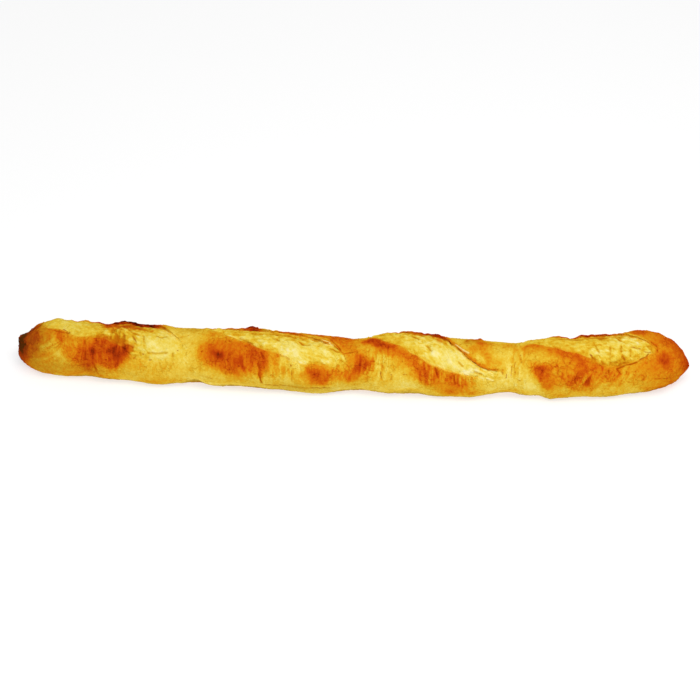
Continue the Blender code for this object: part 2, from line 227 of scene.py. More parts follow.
def half_width(along):
    """Half the loaf's width, with its waists and its two elliptical ends."""
    width = plain_half_width(along)
    for place, depth, reach in WAISTS:
        width = width - depth * bell(along - place, reach)
    to_left = np.clip((along + LENGTH / 2) / LEFT_END_LENGTH, 0, 1)
    to_right = np.clip((LENGTH / 2 - along) / RIGHT_END_LENGTH, 0, 1)
    return width * np.sqrt(1 - (1 - to_left) ** 2) * np.sqrt(1 - (1 - to_right) ** 2)


def axis_height(along):
    """How high above the tray the loaf's middle line runs."""
    full_width = 2 * plain_half_width(along)
    left_droop = LEFT_END_DROOP * (1 - ease((along + LENGTH / 2) / LEFT_END_LENGTH))
    right_droop = RIGHT_END_DROOP * (1 - ease((LENGTH / 2 - along) / RIGHT_END_LENGTH))
    return AXIS_HEIGHT_SHARE * HEIGHT_TO_WIDTH * full_width - left_droop - right_droop


def sideways(along):
    """Where the loaf's middle line lies across the tray."""
    bow = -BOW * (1 - (2 * along / LENGTH) ** 2)
    return bow + END_SWING * ease((along - END_SWING_START) / END_SWING_LENGTH)


print("half-width at the middle:", round(float(half_width(np.zeros(1))[0]) / MM, 1), "mm")

# %% [markdown]
# ## The slashes
#
# A baker cuts a baguette at a slant, and in the oven each cut tears open. Its far side lifts into an ear,
# pale crumb swells up in the gap, and the near side stays low. A cut could be a Boolean, but a torn edge
# has no clean wall. Here each slash is a far edge and a near edge drawn on the crust, and the height of
# every point follows from its distance to the two. Noise along the edges makes them ragged.

# %% The four slashes
# From left to right. An edge is a few points (mm along, degrees round), and the ear and the near step
# are (mm along, mm high). How dark the ear is burnt is (mm along, browning), and how far down the crumb it
# is toasted as well is (mm along, mm).
SLASHES = [
    {
        "far": [(-303, -42), (-291, -53), (-250, -47), (-212, -42), (-186, -32), (-172, -12), (-162, 12),
                (-156, 34)],
        "near": [(-303, -26), (-294, -2), (-283, 2), (-274, 10), (-264, 18), (-254, 20), (-240, 20),
                 (-230, 28), (-220, 36), (-210, 50), (-200, 60), (-180, 63), (-156, 50)],
        "ear": [(-303, 0.3), (-262, 1.0), (-240, 1.0), (-226, 2.8), (-212, 2.8), (-202, 1.6), (-192, 2.2),
                (-182, 3.0), (-174, 1.8), (-166, 0.5), (-156, 0.1)],
        "step": [(-303, 0.2), (-258, 0.6), (-201, 0.4), (-156, 0.2)],
        "burnt": [(-303, 0.34), (-252, 0.34), (-244, 0.74), (-232, 0.86), (-226, 0.86), (-215, 1.15),
                  (-206, 0.9), (-195, 0.9), (-186, 0.7), (-180, 0.5), (-174, 0.2), (-168, 0.1), (-156, 0.1)],
        "toasted": [(-248, 1.0), (-240, 5.0), (-226, 5.0), (-192, 5.0), (-180, 2.0), (-168, 1.0)],
    },
    {
        "far": [(-139, -38), (-129, -46), (-112, -42), (-88, -38), (-60, -30), (-40, -19), (-22, -2),
                (-10, 15), (-2, 33)],
        "near": [(-139, -28), (-124, -18), (-113, -3), (-105, 4), (-97, 10), (-90, 18), (-82, 25),
                 (-72, 27), (-62, 37), (-50, 49), (-28, 49), (-2, 43)],
        "ear": [(-139, 0.8), (-124, 1.2), (-112, 3.0), (-102, 4.2), (-92, 6.2), (-86, 5.0), (-79, 3.0),
                (-46, 1.8), (-16, 1.2), (-2, 0.4)],
        "step": [(-139, 0.6), (-112, 1.5), (-92, 1.2), (-62, 0.5), (-28, 0.6), (-2, 0.5)],
        "burnt": [(-139, 0.5), (-112, 0.5), (-106, 0.5), (-97, 0.92), (-90, 0.8), (-85, 0.3), (-75, 0.25),
                  (-64, 0.6), (-56, 0.7), (-46, 0.5), (-37, 0.3), (-30, 0.4), (-20, 0.5), (-2, 0.4)],
        "toasted": [(-108, 2.0), (-98, 4.5), (-88, 4.0), (-84, 1.2), (-77, 1.2), (-72, 3.2), (-50, 3.0),
                    (-40, 1.4), (-14, 1.4), (-6, 1.0)],
    },
    {
        "far": [(16, -44), (27, -57), (40, -55), (64, -47), (84, -33), (94, -16), (101, 2), (107, 16),
                (115, 32), (123, 43), (132, 51), (147, 56)],
        "near": [(16, -32), (25, -20), (34, -10), (43, 0), (52, 13), (60, 24), (70, 34), (79, 46),
                 (90, 54), (100, 61), (114, 67), (130, 76), (147, 74)],
        "ear": [(16, 0.8), (34, 2.4), (62, 3.4), (76, 2.2), (89, 4.2), (98, 1.6), (124, 1.0), (147, 0.5)],
        "step": [(16, 0.3), (47, 0.7), (97, 1.0), (132, 0.7), (147, 0.3)],
        "burnt": [(16, 0.35), (40, 0.4), (56, 0.5), (66, 0.7), (84, 0.86), (91, 0.6), (99, 0.5),
                  (112, 0.5), (130, 0.56), (147, 0.3)],
        "toasted": [(52, 1.5), (70, 3.0), (80, 5.0), (84, 4.5), (88, 2.5), (92, 1.4), (147, 1.2)],
    },
    {
        "far": [(163, -42), (174, -56), (196, -52), (222, -46), (250, -42), (262, -30), (270, -18),
                (278, -7), (285, 4), (291, 20)],
        "near": [(163, -30), (174, -12), (184, -3), (194, 6), (204, 14), (218, 20), (226, 27), (233, 38),
                 (241, 48), (250, 51), (259, 50), (270, 43), (281, 33), (291, 26)],
        "ear": [(163, 0.6), (196, 2.0), (224, 2.4), (250, 2.2), (274, 2.6), (291, 0.6)],
        "step": [(163, 0.3), (208, 0.7), (250, 1.1), (275, 1.2), (291, 0.5)],
        "burnt": [(163, 0.3), (190, 0.35), (206, 0.6), (225, 0.74), (243, 0.66), (252, 0.56), (262, 0.4),
                  (268, 0.25), (291, 0.3)],
        "toasted": [(200, 1.5), (214, 4.0), (226, 5.0), (244, 4.5), (254, 1.2), (291, 0.8)],
    },
]
print(len(SLASHES), "slashes, with ears up to",
      max(height for slash in SLASHES for _, height in slash["ear"]), "mm high")

# %% How the dough opens at a slash
LIP = 0.7 * MM  # the crust's edge drops to the crumb over this much of the arc
OVERHANG, OVERHANG_REACH = 1.8 * MM, 3.0 * MM
EAR_THIN_REACH, EAR_WIDE_REACH = 3.2 * MM, 11 * MM
EAR_THIN_SHARE = 0.6
UNDERCUT, UNDERCUT_REACH = 1.1 * MM, 4.0 * MM
CRUMB_BEHIND_EAR_SHARE, CRUMB_BEHIND_EAR_REACH = 0.42, 16 * MM  # the crumb rises with the ear
STEP_REACH = 4.0 * MM
CRUMB_DEPTH = 0.5 * MM
CRUMB_SWELL, CRUMB_SWELL_REACH = 1.6 * MM, 16 * MM
RIM_SHARE, RIM_REACH = 0.5, 2.6 * MM  # the near edge's own rise, as a share of its step
SLASH_END_FADE = 11 * MM
SLASH_CROSSING = 12 * MM  # the facets' lines leave one slash for the next from this far inside each

# How far an edge wanders where it tore, and over what length: a long wave and a short one.
TEARS = {
    "far": [(1.2 * MM, 9 * MM, 1.3), (0.8 * MM, 3.5 * MM, 7.9)],
    "near": [(1.6 * MM, 11 * MM, 4.1), (0.7 * MM, 4.0 * MM, 9.6)],
}
EAR_NOTCHES = [(0.9, 8 * MM, 2.2), (0.6, 3.2 * MM, 6.6)]  # shares of the ear's height that are torn away


def slash_span(slash):
    """Where a slash starts and ends along the loaf."""
    return slash["far"][0][0] * MM, slash["far"][-1][0] * MM


print("each slash is this long, in mm:", [round(np.ptp(slash_span(slash)) / MM) for slash in SLASHES])


# %% Ragged edges
def torn(along, waves):
    """The sum of a few noises along the loaf, each the same all the way round a ring."""
    places, ring = np.unique(along, return_inverse=True)
    total = np.zeros_like(places)
    for height, reach, seed in waves:
        total += height * np.array([noise.noise(Vector((place / reach, seed, 0.5))) for place in places])
    return total[ring].reshape(np.shape(along))


def edge_turn(slash, side, along):
    """The turn of a slash's far or near edge at each place along the loaf, and its slope."""
    points = [(x * MM, math.radians(degrees)) for x, degrees in slash[side]]
    turn, slope = curve_through(points, along)
    return turn + torn(along, TEARS[side]) / UNROLL_RADIUS, slope


def edge_distances(slash, along, arc):
    """How far each point is past a slash's far edge and before its near edge: along the arc, and straight."""
    far_turn, far_slope = edge_turn(slash, "far", along)
    near_turn, near_slope = edge_turn(slash, "near", along)
    past_far = arc - UNROLL_RADIUS * far_turn
    past_near = UNROLL_RADIUS * near_turn - arc
    from_far = past_far / np.hypot(1, UNROLL_RADIUS * far_slope)
    from_near = past_near / np.hypot(1, UNROLL_RADIUS * near_slope)
    return past_far, past_near, from_far, from_near


wandering = torn(np.linspace(-0.3, 0.3, 200), TEARS["near"])
print("a near edge wanders by", round(float(np.abs(wandering).max()) / MM, 1), "mm at most")


# %% What a slash does to the crust
def slash_relief(slash, along, arc):
    """How far the crust rises at a slash, and how far its ear leans over the crumb."""
    first, last = slash_span(slash)
    within = ease((along - first) / SLASH_END_FADE) * ease((last - along) / SLASH_END_FADE)
    past_far, past_near, from_far, from_near = edge_distances(slash, along, arc)
    opened = ease(past_far / LIP) * ease(past_near / LIP)

    ear_height = height_along(slash["ear"], along)
    notched = ear_height * (1 - np.clip(np.abs(torn(along, EAR_NOTCHES)), 0, 1))
    behind = np.maximum(-from_far, 0)
    thin = EAR_THIN_SHARE * bell(behind, EAR_THIN_REACH)
    wide = (1 - EAR_THIN_SHARE) * bell(behind, EAR_WIDE_REACH)
    step_height = height_along(slash["step"], along)
    rim = RIM_SHARE * step_height * bell(np.maximum(-from_near, 0), RIM_REACH)
    crust = np.where(past_near > past_far, notched * thin + ear_height * wide, rim)

    undercut = UNDERCUT * bell(from_far, UNDERCUT_REACH)
    step = step_height * bell(from_near, STEP_REACH)
    swell = CRUMB_SWELL * bell(from_far - from_near, CRUMB_SWELL_REACH)
    swell = swell + CRUMB_BEHIND_EAR_SHARE * ear_height * bell(from_far, CRUMB_BEHIND_EAR_REACH)
    crumb = swell - CRUMB_DEPTH - undercut - step
    rise = within * (crust * (1 - opened) + crumb * opened)
    lean = within * OVERHANG * bell(behind, OVERHANG_REACH) * (1 - ease(past_far / LIP))
    return rise, lean * ease(ear_height / EAR_THIN_REACH) * (past_near > past_far)


# Across the second slash at its highest ear, from well behind the ear to the crumb.
ear_cut = np.linspace(-30, 0, 7) * MM
ear_rise, _ = slash_relief(SLASHES[1], np.full_like(ear_cut, -92 * MM), ear_cut)
print("across the highest ear the crust rises by", np.round(ear_rise / MM, 1), "mm")


# %% Bulges and uneven dough
def lump_relief(along, arc):
    """How far the bulges and dents lift the crust, and how far the lower front draws in."""
    height = np.zeros_like(along)
    for x, degrees, rise, half_length, half_round in LUMPS + SMALL_LUMPS:
        across = arc - UNROLL_RADIUS * math.radians(degrees)
        height += rise * MM * bell(along - x * MM, half_length * MM) * bell(across, half_round * MM)
    drawn_in = height_along(LOWER_FRONT, along)
    return height - drawn_in * bell(arc - UNROLL_RADIUS * LOWER_FRONT_TURN, LOWER_FRONT_REACH)


def noise_at(points, size, seed):
    """Smooth noise, about -1 to 1, at each point."""
    return np.array([noise.noise(Vector(point) / size + seed) for point in points])


def rough_relief(points):
    """Uneven dough: a long and a short noise, read at each point of the bare loaf."""
    long_wave = noise_at(points, ROUGH_LONG, ROUGH_SEED)
    short_wave = noise_at(points, ROUGH_SHORT, -ROUGH_SEED)
    return ROUGH_LONG_HEIGHT * long_wave + ROUGH_SHORT_HEIGHT * short_wave


shoulder = np.linspace(-0.3, 0.3, 7)
shoulder_rise = lump_relief(shoulder, np.full_like(shoulder, UNROLL_RADIUS * math.radians(-45)))
print("bulges along the back's shoulder:", np.round(shoulder_rise / MM, 1), "mm")


# %% Where every point of the crust is
def crust_points(along, turn, relief):
    """Points of the crust, raised by relief and flattened where they meet the tray."""
    half = half_width(along)
    height = 2 * half * HEIGHT_TO_WIDTH
    reach = np.where(np.cos(turn) > 0, CROWN_SHARE, BELLY_SHARE) * height
    across = sideways(along) - (half + relief) * np.sin(turn)
    up = axis_height(along) + (reach + relief) * np.cos(turn)
    return np.stack([along, across, smooth_above(up, 0.0, BASE_CORNER)], axis=1)


def pinch_tips(points):
    """Pushes out the little tip that the baker's hand leaves at each end."""
    for end, across, up, reach, push in TIPS + SMALL_PINCHES:
        from_end = LENGTH / 2 - end * points[:, 0]
        off = np.hypot(points[:, 1] - across * MM, points[:, 2] - up * MM)
        weight = bell(off, reach * MM) * ease(1 - from_end / TIP_ZONE)
        points = points + weight[:, None] * (np.array(push) * MM)
    points[:, 2] = np.maximum(points[:, 2], 0.0)
    return points


def loaf_shape(along, turn):
    """The finished crust at each place along and turn round the loaf."""
    arc = UNROLL_RADIUS * turn
    relief = lump_relief(along, arc) + rough_relief(crust_points(along, turn, 0.0))
    lean = np.zeros_like(along)
    for slash in SLASHES:
        slash_rise, slash_lean = slash_relief(slash, along, arc)
        relief = relief + slash_rise
        lean = lean + slash_lean
    at_tips = ease((LENGTH / 2 - np.abs(along)) / END_SMOOTHING)
    return pinch_tips(crust_points(along, turn + lean * at_tips / UNROLL_RADIUS, relief * at_tips))


crown = loaf_shape(np.array([-0.2, 0.0, 0.2]), np.zeros(3))[:, 2]
print("the crown's height at the left, the middle and the right:", np.round(crown / MM, 1), "mm")

# %% [markdown]
# ## The crust's facets
#
# Detail needs small facets, and a piece may have 200,000 triangles at most, so they go where the form
# turns sharply. The rings crowd at the ends of the loaf. Round each ring, strips of facets follow the
# slashes' edges, with many across the lip and the crumb and few on the flat base. The two ends close in
# one point each.

# %% Rings and strips
RINGS = 560
STRIPS = [
    # (where the strip starts, facets across it)
    ("base", 14),
    ("back", 34),
    ("ear", 14),
    ("far_edge", 5),
    ("crumb", 52),
    ("near_lip", 3),
    ("near_edge", 6),
    ("front", 36),
    ("base_again", 11),
]
BACK_TURN, FRONT_TURN = math.radians(-118), math.radians(128)
EAR_STRIP, RIM_STRIP = 7 * MM, 4 * MM
FACETS_ROUND = sum(facets for _, facets in STRIPS)
OUTLINE_STEPS = 2001
print(RINGS, "rings of", FACETS_ROUND, "facets")


# %% Where the rings and strips run
def even_places(share):
    """Places along the loaf for shares of the way along its outline, so that rings crowd at its ends."""
    along = LENGTH / 2 * np.sin(np.linspace(-math.pi / 2, math.pi / 2, OUTLINE_STEPS))
    steps = np.hypot(np.diff(along), np.diff(half_width(along)))
    outline = np.concatenate([[0], np.cumsum(steps)])
    return np.interp(share, outline / outline[-1], along)


def edge_lines(along):
    """The turns of the far and near edges all along the loaf, carried from each slash to the next."""
    far, _ = edge_turn(SLASHES[0], "far", along)
    near, _ = edge_turn(SLASHES[0], "near", along)
    for left, right in zip(SLASHES, SLASHES[1:]):
        leaves = slash_span(left)[1] - SLASH_CROSSING
        joins = slash_span(right)[0] + SLASH_CROSSING
        passed = ease((along - leaves) / (joins - leaves))
        far = far + (edge_turn(right, "far", along)[0] - far) * passed
        near = near + (edge_turn(right, "near", along)[0] - near) * passed
    return far, near


def ring_turns(along):
    """The turn of every facet's corner on each ring, one row for each place along."""
    far, near = edge_lines(along)
    lines = {
        "base": np.full_like(along, -math.pi),
        "back": np.full_like(along, BACK_TURN),
        "ear": far - EAR_STRIP / UNROLL_RADIUS,
        "far_edge": far,
        "crumb": far + LIP / UNROLL_RADIUS,
        "near_lip": near - LIP / UNROLL_RADIUS,
        "near_edge": near,
        "front": near + RIM_STRIP / UNROLL_RADIUS,
        "base_again": np.full_like(along, FRONT_TURN),
    }
    starts = [lines[name] for name, _ in STRIPS] + [np.full_like(along, math.pi)]
    columns = []
    for (_, facets), start, end in zip(STRIPS, starts, starts[1:]):
        columns += [start + (end - start) * step / facets for step in range(facets)]
    return np.stack(columns, axis=1)


ring_places = even_places(np.arange(1, RINGS) / RINGS)
ring_gaps = np.diff(ring_places) / MM
print("the rings are", spread(ring_gaps), "mm apart")

# %% Every corner of the crust
crust_turn = ring_turns(ring_places).ravel()
crust_along = np.repeat(ring_places, FACETS_ROUND)
crust_along = np.concatenate([crust_along, [-LENGTH / 2, LENGTH / 2]])
crust_turn = np.concatenate([crust_turn, [0.0, 0.0]])
crust_arc = UNROLL_RADIUS * crust_turn
bare_points = loaf_shape(crust_along, crust_turn)
low, high = bare_points.min(axis=0), bare_points.max(axis=0)
TO_FRAME = np.array([(low[0] + high[0]) / 2, (low[1] + high[1]) / 2, low[2]])
bare_points -= TO_FRAME
print(len(bare_points), "corners; the fine crust spans", np.round((high - low) / MM, 1), "mm")

# %% How far it is round each ring
FULL_RADIUS = 20 * MM  # a ring with less than this is part of a tip, where it is short to go round
rings = bare_points[:-2].reshape(RINGS - 1, FACETS_ROUND, 3)
ring_radius = np.linalg.norm(rings - rings.mean(axis=1, keepdims=True), axis=2).mean(axis=1)
ring_share = np.append(np.repeat(np.minimum(ring_radius / FULL_RADIUS, 1.0), FACETS_ROUND), [0.0, 0.0])
print("rings that are part of a tip:", int((ring_radius < FULL_RADIUS).sum()))


# %% The crust's faces
def crust_faces():
    """Four-sided faces between the rings, outward, and a fan of triangles at each end."""
    column = np.arange(FACETS_ROUND)
    after = (column + 1) % FACETS_ROUND
    ring = np.arange(RINGS - 2)[:, None] * FACETS_ROUND
    quads = np.stack([ring + column, ring + after, ring + after + FACETS_ROUND,
                      ring + column + FACETS_ROUND], axis=-1).reshape(-1, 4).tolist()
    last_ring = (RINGS - 2) * FACETS_ROUND
    left_end, right_end = (RINGS - 1) * FACETS_ROUND, (RINGS - 1) * FACETS_ROUND + 1
    left_fan = [[left_end, int(b), int(a)] for a, b in zip(column, after)]
    right_fan = [[right_end, int(last_ring + a), int(last_ring + b)] for a, b in zip(column, after)]
    return quads + left_fan + right_fan


def linked(name, data):
    """An object at the origin, linked to the scene."""
    made = bpy.data.objects.new(name, data)
    bpy.context.scene.collection.objects.link(made)
    return made


def piece_of(name, points, faces, edges=()):
    """An object made of these corners, faces and loose edges."""
    mesh = bpy.data.meshes.new(name)
    mesh.from_pydata([tuple(point) for point in points], [tuple(edge) for edge in edges], faces)
    return linked(name, mesh)


crust = piece_of("crust", bare_points, crust_faces())
crust.data.calc_loop_triangles()
print("crust:", len(crust.data.loop_triangles), "triangles")

# %% [markdown]
# ## Where the oven browned it
#
# A crust isn't one colour. The oven browns what stands proud, burns the thin ears, and leaves the dough
# that a slash let out late almost cream. A noise texture could scatter brown, but on this loaf each patch
# has its place. So every patch is written down where it is, as a soft spot on the unrolled crust, and the
# result is stored on each corner as an attribute called browning: 0 is cream, 1 is burnt.

# %% The skin's patches on the left half
# (mm along, degrees round, browning, mm half-length, mm half-width), painted in this order.
BROWN_PATCHES = [
    # the left end; at its tip the fold is painted, with a highlight on its ridge and shade in the hollow
    # below
    (-290, -16, 0.16, 9, 9), (-306, 26, 0.80, 4, 8), (-310, 18, 0.62, 3.5, 6), (-304, 44, 0.62, 5, 6),
    (-309, -22, 0.92, 4, 3), (-316, -10, 1.0, 2.5, 5), (-321, -16, 0.76, 3, 7), (-320, 16, 1.1, 2.5, 6),
    (-322, 46, 1.14, 4, 10), (-322, 90, 0.84, 4, 10), (-303, 94, 0.36, 8, 8), (-306, 116, 0.40, 12, 10),
    (-268, 84, 0.32, 22, 12), (-290, 76, 0.46, 9, 9), (-292, 8, 0.52, 8, 4), (-283, 12, 0.56, 10, 5),
    (-271, 24, 0.46, 10, 6), (-286, 27, 0.56, 6, 7), (-277, 28, 0.58, 7, 5), (-283, 44, 0.30, 7, 7),
    (-271, 46, 0.54, 6, 7),
    # the first slash's shoulder
    (-196, 84, 0.26, 34, 16), (-256, 54, 0.52, 12, 16), (-251, 34, 0.64, 6, 7), (-254, 86, 0.46, 9, 7),
    (-238, 58, 0.68, 22, 19), (-250, 62, 0.72, 8, 12), (-242, 50, 0.96, 5, 12),
    (-226, 46, 0.84, 12, 11), (-216, 34, 0.82, 6, 8), (-231, 66, 0.66, 11, 6), (-240, 23, 0.46, 16, 7),
    (-240, 33, 0.70, 5, 6), (-233, 29, 0.72, 6, 6), (-236, 47, 0.62, 3, 8), (-240, 92, 0.34, 8, 6),
    (-222, 20, 0.54, 9, 8), (-209, 33, 0.62, 5, 7), (-203, 62, 0.36, 6, 6), (-233, -20, 0.76, 11, 9),
    (-216, -18, 0.68, 9, 9), (-205, -18, 0.64, 8, 8), (-193, -13, 0.60, 5, 4),
    # the second slash's shoulder
    (-120, 92, 0.28, 38, 10), (-112, 42, 0.67, 28, 16), (-140, 34, 0.54, 8, 11), (-128, 36, 0.80, 7, 9),
    (-123, 37, 1.10, 4, 4), (-114, 56, 0.64, 12, 9), (-99, 47, 0.66, 12, 14), (-90, 34, 0.72, 4, 7),
    (-82, 44, 0.70, 5, 13), (-83, 72, 0.56, 3, 8), (-106, 14, 0.62, 14, 6), (-120, 14, 0.56, 14, 8),
    (-132, -11, 0.46, 10, 6), (-151, -26, 0.36, 8, 6), (-72, 48, 0.44, 7, 14), (-68, 70, 0.32, 10, 10),
    (-34, -30, 0.62, 16, 4),
    # between the second and third
    (-40, 72, 0.50, 14, 14), (-6, 76, 0.50, 20, 11), (-33, 72, 0.72, 8, 9), (-38, 58, 0.70, 6, 5),
    (-27, 86, 0.56, 8, 6), (-24, 71, 0.60, 7, 7), (-35, 48, 0.42, 7, 5), (13, 46, 0.66, 11, 14),
    (19, 47, 0.74, 6, 8), (11, 68, 0.64, 6, 5), (10, 47, 0.74, 6, 11), (6, 29, 0.68, 7, 8),
    (4, 78, 0.60, 8, 8), (20, 72, 0.36, 8, 8), (28, 63, 0.24, 6, 7), (-8, -24, 0.62, 18, 9),
    (-10, -9, 0.62, 9, 5), (4, 6, 0.44, 14, 12), (-2, 7, 0.54, 8, 8), (-13, 44, 0.16, 6, 6),
    (26, 18, 0.42, 8, 8), (21, -16, 0.78, 9, 5), (29, -3, 0.80, 9, 6), (38, 9, 0.76, 9, 6),
    (47, 21, 0.56, 8, 6), (36, 22, 0.58, 8, 6), (54, 30, 0.60, 8, 8), (62, 36, 0.60, 8, 8),
]
print("the left half has", len(BROWN_PATCHES), "patches")

# %% The skin's patches on the right half, the back and the flank
# Same columns, painted after those.
BROWN_PATCHES += [
    # the third slash's shoulder
    (74, 54, 0.52, 11, 13), (60, 62, 0.46, 6, 6), (69, 60, 0.72, 6, 8), (78, 76, 0.60, 8, 6),
    (90, 72, 0.46, 14, 12), (83, 65, 0.66, 3, 6), (99, 75, 0.72, 3, 6), (106, 80, 0.54, 14, 9),
    (96, 102, 0.54, 16, 9), (116, 108, 0.44, 10, 6), (122, 10, 0.46, 12, 10), (116, -22, 0.54, 9, 5),
    (126, -13, 0.62, 6, 6), (131, 40, 0.46, 8, 4),
    # the fourth slash's shoulder
    (180, 2, 0.44, 14, 6), (172, -2, 0.56, 14, 5), (174, 12, 0.46, 9, 6), (194, 15, 0.56, 9, 6),
    (180, 58, 0.56, 10, 11), (180, 58, 0.90, 6, 7), (172, 60, 0.42, 4, 8), (188, 65, 0.62, 5, 5),
    (176, 61, 0.66, 5, 6), (190, 55, 0.56, 6, 6), (190, 86, 0.60, 10, 8), (220, 54, 0.56, 26, 20),
    (206, 22, 0.60, 12, 9), (218, 40, 0.64, 5, 8), (206, 64, 0.58, 6, 7), (206, 42, 0.46, 6, 6),
    (214, 72, 0.62, 6, 8), (230, 83, 0.68, 6, 6), (227, 77, 0.80, 3, 8), (236, 56, 0.58, 8, 8),
    (254, 57, 0.50, 10, 6), (262, 84, 0.32, 34, 12), (222, 99, 0.46, 10, 6), (250, 70, 0.54, 9, 7),
    (276, 60, 0.42, 14, 12), (284, 55, 0.52, 7, 8), (284, 80, 0.44, 12, 10),
    # the right end
    (277, -30, 0.68, 14, 8), (300, 40, 0.48, 18, 34), (302, -12, 0.54, 17, 24), (306, -9, 0.64, 9, 10),
    (300, 42, 0.72, 7, 8), (314, -24, 0.72, 8, 12), (321, 50, 0.78, 4, 12),
    # the back, which bakes more evenly
    (-284, -96, 0.52, 20, 16), (-240, -82, 0.62, 18, 10), (-196, -104, 0.56, 24, 14),
    (-150, -74, 0.48, 18, 12), (-104, -96, 0.60, 22, 13), (-60, -78, 0.66, 16, 9),
    (-14, -108, 0.54, 22, 12), (30, -84, 0.60, 20, 11), (76, -104, 0.62, 20, 14),
    (112, -78, 0.54, 16, 10), (124, -34, 0.78, 4, 4), (158, -98, 0.60, 20, 12),
    (206, -80, 0.66, 16, 10), (248, -104, 0.58, 24, 13), (292, -84, 0.60, 18, 16),
    # the low flank
    (-262, 112, 0.46, 32, 9), (-181, 112, 0.36, 24, 5), (-40, 104, 0.22, 60, 4), (60, 112, 0.26, 26, 6),
    (150, 110, 0.36, 20, 6), (204, 110, 0.34, 14, 6), (250, 110, 0.28, 24, 6),
    # the palest places
    (-156, 44, 0.14, 8, 24), (-147, 62, 0.24, 6, 10), (-132, 88, 0.18, 12, 9), (42, 72, 0.20, 14, 14),
    (57, 92, 0.06, 10, 8), (46, 43, 0.38, 8, 7), (85, -15, 0.62, 8, 8), (124, 37, 0.10, 6, 5),
    (132, 24, 0.50, 6, 6), (139, 97, 0.10, 9, 8), (138, 64, 0.06, 7, 6), (152, 60, 0.10, 13, 18),
    (140, 36, 0.34, 7, 6), (146, 56, 0.36, 4, 5), (117, 67, 0.28, 6, 4), (133, -20, 0.42, 8, 5),
    (168, 74, 0.14, 9, 14), (160, 34, 0.32, 7, 11), (150, -8, 0.40, 9, 8), (-50, 56, 0.12, 6, 4),
    (-44, 84, 0.34, 7, 6), (179, 57, 0.74, 6, 6), (175, 80, 0.20, 6, 6), (172, 87, 0.06, 7, 6),
    (-150, 112, 0.12, 9, 6), (-228, 106, 0.34, 8, 6),
]
print("the skin has", len(BROWN_PATCHES), "patches in all")

# %% The ends, and the duller places, some of them painted shade
# Both ends bake dark all the way round: (mm along, browning).
END_BROWNING = [(-326, 1.0), (-320, 0.96), (-314, 0.84), (-307, 0.60), (-300, 0.46), (-290, 0.34),
                (-276, 0.0), (268, 0.0), (282, 0.34), (296, 0.48), (310, 0.54), (319, 0.62), (326, 0.76)]

# Where the crust is duller and greyed as well, not only brown: in places its own colour, and at the left
# end and along the low flank painted shade. 0 is not at all. Same columns as above.
DULL_AND_SHADE_PATCHES = [
    (-304, 70, 0.4, 16, 44), (-288, 96, 0.24, 22, 18), (-318, 80, 0.22, 7, 16), (-256, 96, 0.2, 20, 10),
    (-311, -24, 0.4, 6, 6), (-151, -26, 0.2, 8, 6), (116, -20, 0.3, 9, 6), (-40, 112, 0.22, 60, 8),
]
print("dull places:", len(DULL_AND_SHADE_PATCHES))

# %% The crumb's patches
# How pale the open crumb is: 0 is cream and 1 golden. Same columns as the skin's patches.
CRUMB_TONE = 0.56
CRUMB_PATCHES = [
    (-270, -10, 0.38, 22, 14), (-240, 0, 0.46, 20, 8), (-246, 16, 0.62, 10, 5), (-222, 0, 0.56, 10, 8),
    (-210, 17, 0.2, 3, 5), (-202, 5, 0.2, 3.5, 3), (-196, 6, 0.28, 8, 8), (-184, 28, 0.22, 18, 12),
    (-184, 54, 0.20, 8, 5), (-168, 26, 0.32, 10, 10), (-172, -4, 0.30, 12, 9), (-168, 12, 0.42, 6, 6),
    (-112, -16, 0.62, 14, 7), (-110, -6, 0.20, 14, 2.5), (-90, 13, 0.16, 9, 3), (-74, 14, 0.30, 10, 8),
    (-40, 44, 0.16, 22, 3), (-80, 3, 0.22, 14, 8), (-81, 17, 0.56, 5, 3), (-58, 22, 0.10, 16, 12),
    (-30, 26, 0.22, 13, 8), (-20, 0, 0.2, 9, 4), (-60, 2, 0.26, 12, 6), (-60, -14, 0.76, 14, 5),
    (-51, -1, 0.64, 7, 5), (-35, 47, 0.66, 6, 3), (-74, 25, 0.66, 6, 4), (-15, 38, 0.26, 7, 5),
    (-11, 24, 0.70, 5, 5), (-35, -3, 0.34, 6, 4), (38, -28, 0.52, 18, 12), (66, -4, 0.24, 14, 9),
    (84, 20, 0.16, 18, 12), (102, 36, 0.10, 14, 10), (112, 55, 0.02, 14, 6), (94, 44, 0.08, 8, 5),
    (81, 37, 0.46, 5, 4), (101, 43, 0.28, 5, 4), (109, 47, 0.28, 6, 3), (131, 72, 0.12, 8, 3),
    (126, 60, 0.30, 9, 5), (137, 62, 0.10, 6, 5), (136, 27, 0.5, 6, 5), (196, -18, 0.58, 20, 12),
    (232, 12, 0.32, 14, 12), (250, -6, 0.46, 10, 8), (234, -24, 0.72, 20, 7), (228, -8, 0.62, 8, 5),
    (236, 2, 0.62, 6, 5), (224, 18, 0.36, 8, 4), (246, 18, 0.22, 10, 10), (234, 36, 0.74, 7, 5),
    (262, 42, 0.60, 14, 5), (254, 39, 0.70, 8, 6), (253, 45, 0.94, 4, 4), (246, 41, 0.46, 3.5, 4),
    (239, 27, 0.24, 6, 5), (276, 22, 0.36, 10, 8), (260, 14, 0.16, 9, 9), (258, 26, 0.46, 6, 5),
    (216, 10, 0.60, 6, 5), (272, -2, 0.14, 9, 6),
]

# How torn the crumb is there: 0 is smooth and 1 rough.
CRUMB_TORN = 0.8
TORN_PATCHES = [
    (-280, -10, 0.3, 34, 30), (-215, 12, 0.9, 14, 16), (-174, 32, 0.22, 24, 24),
    (-110, -10, 0.5, 20, 14), (-52, 24, 0.45, 24, 12), (-20, 26, 0.6, 14, 12), (40, -10, 0.5, 20, 16),
    (96, 36, 0.4, 24, 14), (190, -10, 0.4, 24, 18), (254, 20, 0.9, 24, 24),
]
print("the crumb has", len(CRUMB_PATCHES), "patches of tone and", len(TORN_PATCHES), "of roughness")

# %% Painting the patches
PATCH_SOFTNESS = 1.25  # 1 fades evenly outwards, and more has a fuller middle


